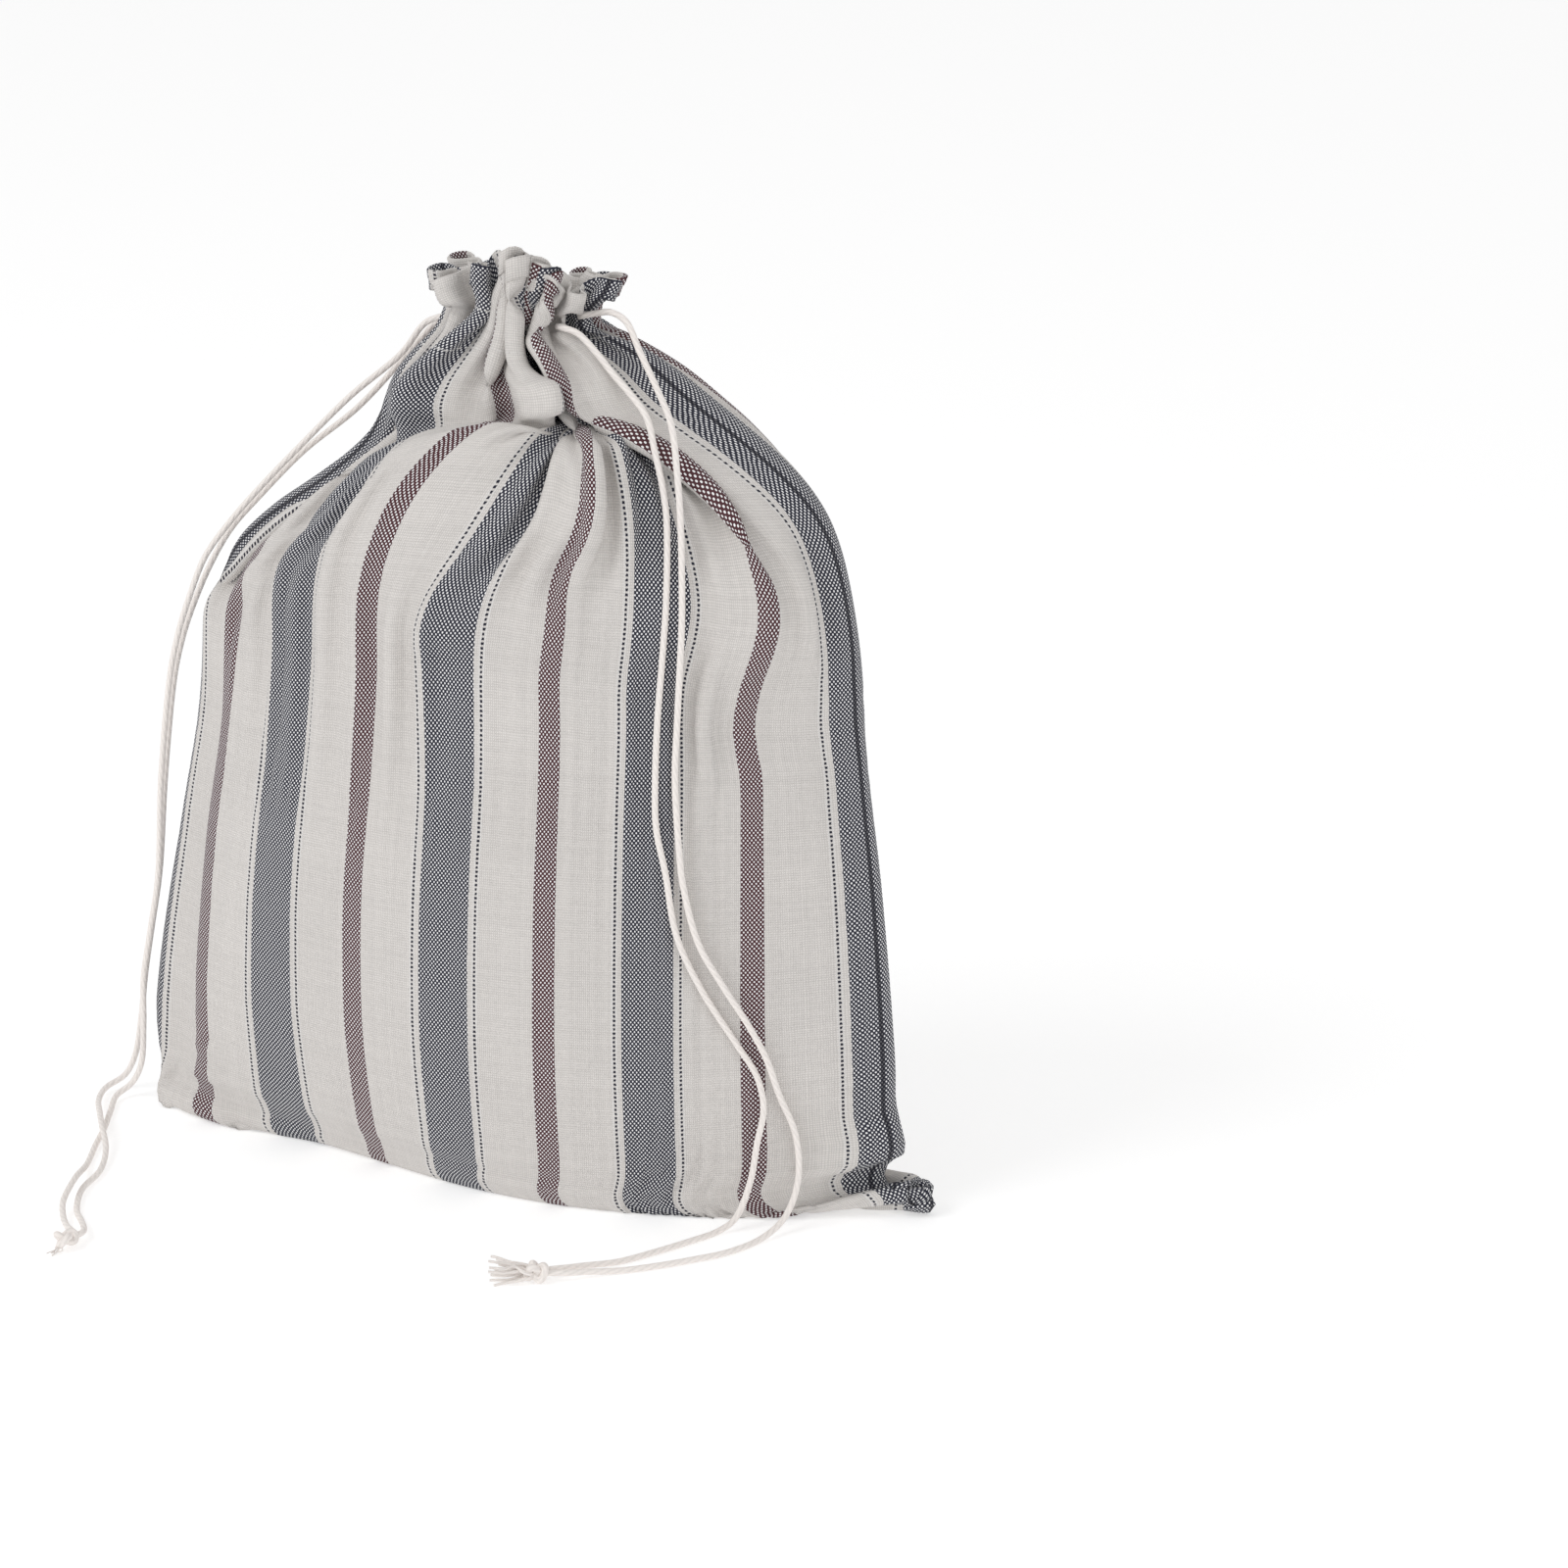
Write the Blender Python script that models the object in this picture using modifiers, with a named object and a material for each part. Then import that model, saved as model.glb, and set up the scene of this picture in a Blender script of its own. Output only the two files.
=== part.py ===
"""A drawstring bread bag of striped linen cloth, standing as if softly filled.

Two 300 mm wide panels are sewn along the sides and the bottom. The mouth is
gathered on two drawstrings, whose free strands leave the casing in pairs, one pair
at each side. Each pair hangs to the floor and ends in a knot. The cloth, each strand
and each knot is one closed solid. +Z is up, the front faces -Y, and the origin is
on the floor under the middle of the bag. All tables are in millimetres.
"""
import math
from collections import namedtuple

import bmesh
import bpy
import numpy as np
from mathutils import Matrix

MM = 0.001

# ---------------------------------------------------------------- driving sizes
PANEL_WIDTH = 300.0            # one panel, side seam to side seam
GIRTH = 2.0 * PANEL_WIDTH      # both panels, once round the bag
CLOTH_THICKNESS = 1.2
CLOTH_COLUMNS = 96             # grid lines up the cloth, even so that the bottom seam closes
CORD_DIAMETER = 2.5
CORD_STEP = 8.0                # distance between points of a strand's tube
SEAM_HALF_THICKNESS = 2.0      # of the two panels where they meet along a side seam
CENTRE_SHIFT = (-4.0, 0.0, 0.0)  # from the tables' frame, to bring the bag over the origin

# One row for each level section of the cloth, from the bottom seam to the hem.
# left, right, front, back: how far the section reaches; z_...: its height there;
# point: 1 for an ellipse, more for a lens with sharper ends; gather: share of the way
# to the pleats' places; pleat: how deep the grooves go in; twist: cloth turned round.
Section = namedtuple(
    "Section", "name left right front back z_left z_right z_front z_back point gather pleat twist")
SECTIONS = [
    Section("seam", 143.0, 152.0, 0.0, 0.0, 2.5, 4.0, 0.0, 0.0, 1.0, 0.0, 0.0, 0.0),
    Section("under", 143.0, 151.0, 19.5, 19.5, 5.0, 8.0, 0.0, 0.0, 1.5, 0.0, 0.0, 4.0),
    Section("edge", 142.5, 146.0, 39.0, 39.0, 8.0, 11.0, 0.0, 0.0, 1.7, 0.0, 0.0, 9.0),
    Section("heel", 142.0, 138.0, 42.5, 42.5, 11.0, 13.0, 3.5, 3.5, 1.7, 0.0, 0.0, 11.0),
    Section("low", 141.0, 141.0, 46.0, 46.0, 20.0, 20.0, 14.0, 14.0, 1.7, 0.0, 0.0, 12.0),
    Section("belly", 138.0, 138.5, 51.5, 51.5, 60.0, 60.0, 57.0, 57.0, 1.7, 0.0, 0.0, 12.0),
    Section("middle", 131.0, 133.0, 53.5, 53.5, 113.0, 113.0, 113.0, 113.0, 1.65, 0.0, 0.0, 11.0),
    Section("upper", 123.0, 126.0, 52.0, 52.0, 160.0, 162.0, 163.0, 163.0, 1.6, 0.0, 0.5, 9.0),
    Section("corner", 117.0, 122.0, 49.5, 49.5, 207.0, 203.0, 213.0, 213.0, 1.5, 0.02, 1.2, 8.0),
    Section("turn", 101.0, 113.0, 47.0, 46.0, 232.0, 243.0, 250.0, 246.0, 1.4, 0.10, 2.2, 6.0),
    Section("crest", 77.0, 93.0, 40.0, 40.0, 249.0, 271.0, 278.0, 272.0, 1.3, 0.30, 4.0, 3.0),
    Section("saddle", 57.0, 71.0, 31.0, 33.0, 266.0, 289.0, 277.0, 283.0, 1.2, 0.60, 6.5, 2.0),
    Section("skirt", 48.0, 50.0, 27.0, 28.0, 285.0, 301.0, 289.0, 293.0, 1.1, 0.85, 9.0, 0.0),
    Section("waist", 25.0, 25.0, 22.0, 22.0, 308.0, 310.0, 307.0, 308.0, 1.0, 1.0, 15.0, 0.0),
    Section("flare", 26.0, 26.0, 23.0, 23.0, 315.0, 316.0, 313.0, 315.0, 1.0, 1.0, 14.0, 0.0),
    Section("hem", 29.0, 31.0, 26.0, 25.0, 324.0, 323.0, 320.0, 323.0, 1.0, 1.0, 10.0, 0.0),
]
LEVEL = {section.name: index for index, section in enumerate(SECTIONS)}

# One row for each pleat of the gathered mouth. cloth: its place round the girth, from
# the left seam; angle: its direction at the waist, 180 left, 270 front, 360 right;
# proud: how far it stands out past its section; flare, rise: how far it leans out and
# stands up at the hem.
FULL_PLEAT_STEP = 21.0         # degrees between two pleats at the waist
Pleat = namedtuple("Pleat", "cloth angle proud flare rise")
PLEATS = [
    Pleat(8, 190, 0.0, 0.0, 1.0),
    Pleat(40, 213, -1.0, 2.0, -3.0),
    Pleat(75, 236, 1.5, -2.0, -2.0),
    Pleat(97, 254, -0.5, -3.0, 2.0),
    Pleat(115, 269, 0.0, -2.0, 6.0),
    Pleat(138, 284, 1.5, -1.0, 7.0),
    Pleat(215, 295, -5.0, -3.0, 4.0),
    Pleat(262, 306, 0.5, 1.0, 2.0),
    Pleat(280, 325, 0.5, 0.0, -5.0),
    Pleat(302, 352, 1.0, 3.0, 1.0),
    Pleat(340, 375, 0.0, 0.0, 2.0),
    Pleat(375, 397, -0.5, 2.0, -1.0),
    Pleat(410, 419, 0.5, 0.0, 3.0),
    Pleat(447, 441, 0.0, 1.0, 0.0),
    Pleat(484, 463, 0.0, 0.0, 3.0),
    Pleat(520, 485, -0.5, 2.0, 1.0),
    Pleat(562, 515, 0.0, 0.0, 4.0),
]

# One row for each main fold below the waist. cloth_low, cloth_high: its place round
# the girth at its two ends; from_, to: the levels it runs between; out, lift: how far
# it stands out and up (less than 0 for a valley); slide: cloth drawn sideways into it.
Fold = namedtuple("Fold", "name cloth_low cloth_high from_ to out lift slide wide_left wide_right")
FOLDS = [
    Fold("neck_valley", 150, 150, 8.2, 11.8, -7.0, 0.0, 22.0, 30, 20),
    Fold("left_pillow", 105, 110, 8.0, 11.8, 5.0, 3.0, 0.0, 30, 22),
    Fold("middle_ridge", 190, 186, 7.6, 12.4, 5.0, 0.0, 8.0, 16, 16),
    Fold("right_valley", 232, 225, 6.8, 11.8, -6.0, 0.0, -7.0, 16, 12),
    Fold("right_ridge", 262, 262, 7.2, 12.6, 6.0, 3.0, 7.0, 10, 22),
    Fold("left_groove", 30, 35, 8.3, 12.0, -8.0, 0.0, 0.0, 14, 18),
    Fold("neck_ledge", 165, 200, 10.7, 12.2, 6.0, 0.0, 0.0, 24, 16),
    Fold("back_left_ridge", 545, 540, 7.6, 12.4, 5.0, 1.0, 0.0, 18, 18),
    Fold("back_valley", 455, 455, 7.4, 12.0, -6.0, 0.0, 6.0, 20, 26),
    Fold("back_ridge", 410, 415, 7.4, 12.4, 5.0, 2.0, 0.0, 18, 20),
    Fold("back_right_valley", 355, 362, 7.8, 12.0, -6.0, 0.0, 0.0, 14, 16),
]

# Levels at which the cloth's grid has a row.
ROW_LEVELS = [0, 1, 2, 3, 4, 4.5, 5, 5.5, 6, 6.5, 7, 7.5, 8, 8.5, 9, 9.5, 10, 10.5,
              11, 11.5, 12, 12.5, 13, 13.5, 14, 15]


def in_row_frame(points):
    """Table points, in millimetres, as points of the row's frame in metres."""
    return (np.asarray(points, float) + CENTRE_SHIFT) * MM


# ---------------------------------------------------------------- the cloth's form
def smooth_step(x):
    x = np.clip(x, 0.0, 1.0)
    return x * x * (3.0 - 2.0 * x)


def read_column(name, levels):
    """One column of SECTIONS, read at any level from a smooth curve without overshoot."""
    values = np.array([getattr(section, name) for section in SECTIONS])
    steps = np.diff(values)
    before, after = steps[:-1], steps[1:]
    total = np.where(before * after > 0.0, before + after, 1.0)
    inner = np.where(before * after > 0.0, 2.0 * before * after / total, 0.0)
    tangents = np.concatenate([steps[:1], inner, steps[-1:]])
    low = np.clip(np.floor(levels).astype(int), 0, len(values) - 2)
    f = levels - low
    rise = f * f * (3.0 - 2.0 * f)
    return (values[low] * (1.0 - rise) + values[low + 1] * rise
            + tangents[low] * f * (1.0 - f) ** 2 - tangents[low + 1] * f * f * (1.0 - f))


def pleat_table(cloth, values):
    """Reads one value per pleat at any place round the girth."""
    places = np.array([pleat.cloth for pleat in PLEATS])
    around = np.concatenate([places - GIRTH, places, places + GIRTH])
    return np.interp(cloth, around, values)


def groove_depth(cloth):
    """How deep the grooves go round the girth: 0 on a ridge, 1 between two pleats that
    stand a full step apart, less where they stand closer."""
    places = np.array([pleat.cloth for pleat in PLEATS], float)
    angles = np.array([pleat.angle for pleat in PLEATS], float)
    around = np.concatenate([places - GIRTH, places, places + GIRTH])
    turned = np.concatenate([angles - 360.0, angles, angles + 360.0])
    index = np.searchsorted(around, cloth, side="right") - 1
    f = (cloth - around[index]) / (around[index + 1] - around[index])
    room = np.minimum((turned[index + 1] - turned[index]) / FULL_PLEAT_STEP, 1.1)
    return (1.0 - np.abs(np.cos(math.pi * f)) ** 0.8) * room


def seam_thickness(from_seam):
    """Keeps the two panels apart next to a side seam, so that both walls have room."""
    return SEAM_HALF_THICKNESS * (1.0 - np.exp(-from_seam / 0.08)) * (1.0 - from_seam)


def section_outline(level, turn):
    """Points and outward directions on one level's outline; turn runs 0 to 1 from the
    left seam, by the front, the right seam and the back."""
    samples = 720
    angle = np.linspace(0.0, 2.0 * math.pi, samples + 1)
    at = {name: float(read_column(name, np.array([level]))[0]) for name in Section._fields[1:]}
    cosine, sine = np.cos(angle), np.sin(angle)
    x = -cosine * np.where(cosine > 0.0, at["left"], at["right"])
    y = -np.sign(sine) * (np.abs(sine) ** at["point"] * np.where(sine > 0.0, at["front"], at["back"])
                          + seam_thickness(np.abs(sine)))
    length = np.concatenate([[0.0], np.cumsum(np.hypot(np.diff(x), np.diff(y)))])
    half = samples // 2
    share = np.concatenate([0.5 * length[:half + 1] / length[half],
                            0.5 + 0.5 * (length[half + 1:] - length[half]) / (length[-1] - length[half])])
    dx, dy = np.gradient(x), np.gradient(y)
    dx[0] = dx[-1] = x[1] - x[-2]
    dy[0] = dy[-1] = y[1] - y[-2]
    size = np.hypot(dx, dy) + 1e-9
    turn = np.mod(turn, 1.0)
    points = np.stack([np.interp(turn, share, x), np.interp(turn, share, y)], -1)
    outward = np.stack([np.interp(turn, share, dy / size), np.interp(turn, share, -dx / size)], -1)
    return points, outward


def cloth_points(cloth, levels):
    """The cloth's outer face, a grid of points in millimetres, one row for each level."""
    cloth_grid, level_grid = np.meshgrid(cloth, levels)
    out = np.zeros_like(cloth_grid)
    lift = np.zeros_like(cloth_grid)
    slide = np.zeros_like(cloth_grid)
    for fold in FOLDS:
        along = np.clip((level_grid - fold.from_) / (fold.to - fold.from_), 0.0, 1.0)
        middle = fold.cloth_low + (fold.cloth_high - fold.cloth_low) * along
        away = np.mod(cloth_grid - middle + PANEL_WIDTH, GIRTH) - PANEL_WIDTH
        width = np.where(away < 0.0, fold.wide_left, fold.wide_right)
        strength = np.exp(-(away / width) ** 2) * np.sin(math.pi * along) ** 1.2
        out += fold.out * strength
        lift += fold.lift * strength
        slide += fold.slide * strength

    gather = read_column("gather", level_grid)
    angles = np.array([pleat.angle for pleat in PLEATS], float)
    angles = np.concatenate([angles - 360.0, angles, angles + 360.0])
    pleated_turn = (pleat_table(cloth_grid, angles) - 180.0) / 360.0
    turn = (cloth_grid / GIRTH * (1.0 - gather) + pleated_turn * gather
            + (slide - read_column("twist", level_grid)) / GIRTH)

    def for_each_pleat(name):
        return pleat_table(cloth_grid, np.tile([getattr(pleat, name) for pleat in PLEATS], 3))

    at_hem = smooth_step((level_grid - LEVEL["waist"]) / (LEVEL["hem"] - LEVEL["waist"]))
    out -= read_column("pleat", level_grid) * groove_depth(cloth_grid)
    out += for_each_pleat("proud") * gather
    out += for_each_pleat("flare") * at_hem
    lift += for_each_pleat("rise") * at_hem

    # a section's height runs from its front and back up or down to its side seams;
    # low down only the sewn ends stand up from the floor, as ears
    to_side = np.cos(2.0 * math.pi * turn)
    to_front = np.sin(2.0 * math.pi * turn)
    reach = 2.0 + 14.0 * (1.0 - smooth_step(level_grid / LEVEL["belly"]))
    left = np.clip(to_side, 0.0, 1.0) ** reach
    right = np.clip(-to_side, 0.0, 1.0) ** reach
    front = smooth_step(0.5 + 0.5 * to_front)
    height = read_column("z_front", level_grid) * front + read_column("z_back", level_grid) * (1.0 - front)
    height = (height * (1.0 - left - right) + read_column("z_left", level_grid) * left
              + read_column("z_right", level_grid) * right)

    grid = np.zeros(cloth_grid.shape + (3,))
    for row, level in enumerate(levels):
        points, outward = section_outline(level, turn[row])
        grid[row, :, :2] = points + outward * out[row][:, None]
    grid[..., 2] = height + lift
    return grid


# ---------------------------------------------------------------- the cords
# Routes of the strands' centre lines, from the casing to the knot.
ROUTES = {
    "cord_left_front": [
        (-22.3, 3.2, 307), (-28, 5.5, 306.5), (-34, 8, 305), (-41, 11, 301), (-51, 14, 289),
        (-69, 12.5, 273.5), (-88, 10, 254), (-102, 8, 239), (-113, 6, 226), (-122, 4, 213),
        (-128, 3, 198), (-133, 3, 183), (-137, 3, 164), (-141, 3, 128), (-143, 3, 92), (-147, 3, 68),
        (-150, 3, 50), (-151, 4, 32), (-153, 6, 16), (-158, 8, 6), (-162, 2, 2.2), (-158, -12, 1.5),
        (-153, -28, 1.5), (-149, -44, 1.5), (-144, -62, 1.5), (-138, -84, 5.6), (-134.5, -101, 4.4),
        (-130, -111, 3.0), (-124.5, -119.5, 3.2), (-120.3, -124.1, 3.4),
    ],
    "cord_left_back": [
        (-24.9, 12.4, 306), (-32, 15.5, 305), (-41, 20, 299), (-53, 21, 285.5), (-69, 19, 268),
        (-88, 16, 252), (-104, 13, 235), (-115, 11, 222), (-123, 10, 208), (-129, 9, 194),
        (-134, 9, 180), (-138, 9, 162), (-142, 9, 128), (-145, 9, 92), (-149, 9, 68), (-152, 9, 50),
        (-155, 11, 32), (-159, 14, 16), (-164, 15, 6), (-169, 8, 2.4), (-165, -7, 3.4),
        (-157, -23, 5.2), (-150, -36, 5.6), (-142, -50, 3.0), (-137, -66, 1.5), (-135.5, -84, 1.5),
        (-129.5, -101, 1.5), (-123, -111, 2.0), (-118.4, -118.5, 2.8), (-116.8, -124.3, 3.4),
    ],
    "cord_right_outer": [
        (22.7, -6.7, 312), (29, -6.6, 313.5), (35, -8, 314.5), (42, -12, 312), (48, -17, 304),
        (56, -22.5, 293), (64, -31, 283), (67, -33.5, 268), (69, -35, 250), (70, -36, 229),
        (70.5, -37.5, 213), (70, -39.5, 184), (70, -41.5, 163), (72, -43, 141), (74, -43, 125),
        (79, -42, 106), (87, -39, 90.5), (95, -35, 76), (101, -32, 63), (105, -29, 49),
        (110, -25.5, 34), (111.5, -26, 18), (109, -32, 6), (104, -44, 1.5), (97, -59, 1.5),
        (88, -69, 1.5), (78, -78.5, 1.5), (67, -87, 1.5), (57, -94, 2.4), (52.3, -98, 3.0),
        (48.5, -100.6, 3.4),
    ],
    "cord_right_inner": [
        (18.2, -15.4, 310), (22, -17.4, 309.8), (27, -18.5, 308.5), (34, -20.5, 303), (41, -23, 296.5),
        (49, -27, 290.5), (55.5, -30.5, 284), (59, -32.5, 273), (62, -33.5, 262), (64, -34.5, 249),
        (64.5, -36, 224), (64, -38.5, 202), (63.5, -41, 184), (63.5, -43, 163), (64.5, -44.5, 146),
        (68, -44.5, 130), (71.8, -43.5, 108), (80, -40, 88), (91, -34.5, 68), (97.5, -31.5, 56),
        (100, -31, 44), (98, -31.5, 31), (96, -32, 17), (92.5, -36, 5), (88, -43, 1.5), (82, -54, 1.5),
        (73, -68, 1.5), (64, -80, 1.5), (55, -89, 2.4), (50.5, -94, 3.0), (46.5, -97.7, 3.4),
    ],
}
KNOT_RADIUS = 3.9              # of the lump that each pair of strands is tied into
Knot = namedtuple("Knot", "name place heading length strands strand_length spread")
KNOTS = [
    Knot("knot_left", (-119.5, -131.0, 3.9), -102.0, 12.0, 2, 8.0, 16.0),
    Knot("knot_right", (42.5, -102.5, 3.9), 214.0, 11.0, 8, 16.0, 46.0),
]


# ---------------------------------------------------------------- Blender helpers
def clear_scene():
    for obj in list(bpy.data.objects):
        bpy.data.objects.remove(obj, do_unlink=True)


def new_collection(name):
    collection = bpy.data.collections.new(name)
    bpy.context.scene.collection.children.link(collection)
    return collection


def make_material(name, colour, roughness):
    material = bpy.data.materials.new(name)
    material.use_nodes = True
    shader = material.node_tree.nodes["Principled BSDF"]
    shader.inputs["Base Color"].default_value = (*colour, 1.0)
    shader.inputs["Roughness"].default_value = roughness
    shader.inputs["Metallic"].default_value = 0.0
    return material


def add_mesh_object(collection, name, bm, material):
    mesh = bpy.data.meshes.new(name)
    bm.to_mesh(mesh)
    bm.free()
    mesh.shade_smooth()
    mesh.materials.append(material)
    obj = bpy.data.objects.new(name, mesh)
    collection.objects.link(obj)
    return obj


# ---------------------------------------------------------------- the pieces
def make_bag_cloth(collection, material):
    """Lofts the cloth through its sections, closes it along the bottom seam and thickens it."""
    cloth = np.arange(CLOTH_COLUMNS) * GIRTH / CLOTH_COLUMNS
    grid = in_row_frame(cloth_points(cloth, np.array(ROW_LEVELS, float)))
    grid[0] = 0.5 * (grid[0] + np.roll(grid[0][::-1], 1, axis=0))     # front and back meet at the seam
    bm = bmesh.new()
    rows = []
    for row, points in enumerate(grid):
        if row == 0:
            half = [bm.verts.new(points[i]) for i in range(CLOTH_COLUMNS // 2 + 1)]
            rows.append(half + half[-2:0:-1])
        else:
            rows.append([bm.verts.new(point) for point in points])
    for lower, upper in zip(rows, rows[1:]):
        for i in range(CLOTH_COLUMNS):
            j = (i + 1) % CLOTH_COLUMNS
            bm.faces.new((lower[i], lower[j], upper[j], upper[i]))
    bag = add_mesh_object(collection, "bag_cloth", bm, material)
    wall = bag.modifiers.new("Wall", "SOLIDIFY")
    wall.thickness = CLOTH_THICKNESS * MM
    wall.offset = -1.0
    return bag


def smooth_route(route, step):
    """Even points on a smooth curve through the route's points."""
    knots = np.array(route, float)
    ends = np.vstack([2 * knots[0] - knots[1], knots, 2 * knots[-1] - knots[-2]])
    fine = []
    for i in range(len(knots) - 1):
        a, b, c, d = ends[i:i + 4]
        f = np.linspace(0.0, 1.0, 24, endpoint=False)[:, None]
        fine.append(0.5 * (2 * b + (c - a) * f + (2 * a - 5 * b + 4 * c - d) * f ** 2
                           + (3 * b - a - 3 * c + d) * f ** 3))
    fine = np.vstack(fine + [knots[-1:]])
    length = np.concatenate([[0.0], np.cumsum(np.linalg.norm(np.diff(fine, axis=0), axis=1))])
    count = max(2, round(length[-1] / step) + 1)
    even = np.linspace(0.0, length[-1], count)
    return np.stack([np.interp(even, length, fine[:, axis]) for axis in range(3)], -1)


def make_strand(collection, name, route, material):
    """One strand of a drawstring, a round tube along its route."""
    points = in_row_frame(smooth_route(route, CORD_STEP))
    curve = bpy.data.curves.new(name, "CURVE")
    curve.dimensions = "3D"
    curve.bevel_depth = CORD_DIAMETER / 2.0 * MM
    curve.bevel_resolution = 2
    curve.use_fill_caps = True
    spline = curve.splines.new("POLY")
    spline.points.add(len(points) - 1)
    for spline_point, point in zip(spline.points, points):
        spline_point.co = (*point, 1.0)
    curve.materials.append(material)
    strand = bpy.data.objects.new(name, curve)
    collection.objects.link(strand)
    return strand


def make_knot(collection, cutters, knot, material):
    """A tied lump of two wraps round a core, with the strands' ends fanned out of it."""
    def join(target, bm):
        tool = add_mesh_object(cutters, target.name + "_piece", bm, material)
        tool.hide_render = True
        tool.display_type = "WIRE"
        union = target.modifiers.new("Join", "BOOLEAN")
        union.operation = "UNION"
        union.object = tool

    heading = math.radians(knot.heading)
    frame = Matrix.Translation(in_row_frame(knot.place)) @ Matrix.Rotation(heading, 4, "Z")
    core = bmesh.new()
    bmesh.ops.create_uvsphere(core, u_segments=14, v_segments=8, radius=1.0)
    size = (knot.length / 2.0, KNOT_RADIUS * 0.95, KNOT_RADIUS * 0.9)
    bmesh.ops.scale(core, vec=[side * MM for side in size], verts=core.verts)
    core.transform(frame)
    body = add_mesh_object(collection, knot.name, core, material)
    for lean, along in ((62.0, -1.6), (118.0, 1.6)):
        wrap = bmesh.new()
        bmesh.ops.create_uvsphere(wrap, u_segments=14, v_segments=8, radius=1.0)
        bmesh.ops.scale(wrap, vec=(KNOT_RADIUS * MM, KNOT_RADIUS * MM, CORD_DIAMETER * 0.55 * MM),
                        verts=wrap.verts)
        wrap.transform(frame @ Matrix.Translation((along * MM, 0.0, 0.0))
                       @ Matrix.Rotation(math.radians(lean), 4, "Z") @ Matrix.Rotation(math.pi / 2, 4, "X"))
        join(body, wrap)
    for i in range(knot.strands):
        fan = -knot.spread / 2.0 + knot.spread * i / (knot.strands - 1)
        reach = knot.strand_length * (1.0 - 0.12 * (i % 3))
        strand = bmesh.new()
        bmesh.ops.create_cone(strand, cap_ends=True, segments=4, radius1=0.75 * MM, radius2=0.45 * MM,
                              depth=reach * MM)
        drop = math.degrees(math.atan2(KNOT_RADIUS - 1.4, reach + knot.length / 3.0))
        strand.transform(
            frame @ Matrix.Rotation(math.radians(fan), 4, "Z") @ Matrix.Rotation(math.radians(drop), 4, "Y")
            @ Matrix.Translation(((knot.length / 3.0 + reach / 2.0) * MM, 0.0, 0.0))
            @ Matrix.Rotation(math.pi / 2, 4, "Y"))
        join(body, strand)
    return body


def main():
    clear_scene()
    bag_parts = new_collection("linen_bread_bag")
    cutters = new_collection("joined_shapes")
    linen = make_material("striped_linen", (0.80, 0.77, 0.72), 0.9)
    cotton = make_material("cotton_cord", (0.86, 0.82, 0.74), 0.85)
    make_bag_cloth(bag_parts, linen)
    for name, route in ROUTES.items():
        make_strand(bag_parts, name, route, cotton)
    for knot in KNOTS:
        make_knot(bag_parts, cutters, knot, cotton)


main()
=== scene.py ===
"""The finished look of a striped linen bread bag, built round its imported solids.

The cloth, the four drawstring strands and the two knots each replace the plain solid of
the same name. Sizes in the tables are in millimetres; the script works in metres.
"""

import math
from collections import namedtuple

import bmesh
import bpy
import numpy as np
from mathutils import Matrix, Vector


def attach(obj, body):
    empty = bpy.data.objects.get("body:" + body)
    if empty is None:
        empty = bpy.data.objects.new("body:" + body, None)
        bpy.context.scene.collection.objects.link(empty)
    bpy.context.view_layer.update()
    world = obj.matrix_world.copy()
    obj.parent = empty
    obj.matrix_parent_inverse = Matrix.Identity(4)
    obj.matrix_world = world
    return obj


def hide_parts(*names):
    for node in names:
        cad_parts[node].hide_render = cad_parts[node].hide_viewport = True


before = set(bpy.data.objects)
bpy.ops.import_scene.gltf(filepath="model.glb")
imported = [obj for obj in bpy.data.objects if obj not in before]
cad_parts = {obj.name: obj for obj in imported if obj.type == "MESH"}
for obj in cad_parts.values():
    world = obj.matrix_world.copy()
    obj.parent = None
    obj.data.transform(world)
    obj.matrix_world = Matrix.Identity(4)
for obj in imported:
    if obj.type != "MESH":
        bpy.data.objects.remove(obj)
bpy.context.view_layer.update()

bl_info = {
    "name": "Striped linen bread bag",
    "version": (1, 0, 0),
    "blender": (4, 5, 0),
    "location": "View3D > Sidebar > Bread bag",
    "description": "Builds the looks of a drawstring bread bag of striped linen",
    "category": "Object",
}

MM = 0.001

# ---------------------------------------------------------------- sizes of the cloth
PANEL_WIDTH = 300.0            # one panel, side seam to side seam
GIRTH = 2.0 * PANEL_WIDTH      # both panels, once round the bag
CLOTH_HEIGHT = 397.0           # bottom seam to hem
CLOTH_THICKNESS = 0.6
CLOTH_COLUMNS = 320            # mesh lines up the cloth, even so that the bottom seam closes
CLOTH_ROWS = 143               # mesh lines round it
OUTLINE_SAMPLES = 720          # points of a section's outline
SEAM_HALF_THICKNESS = 2.0      # of the two panels where they meet along a side seam
FLOOR_GAP = 0.6                # the least height of the cloth over the floor
SETTLING_ROUNDS = 150
SMOOTHING_ROUNDS = 6           # that even out the settled cloth along its threads
SMOOTH_FROM, SMOOTH_FADE = 225.0, 60.0  # the height they start at, and the one they fade in over
CENTRE_SHIFT = (-4.0, 0.0, 0.0)  # from the tables' frame, to bring the bag over the origin

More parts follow.
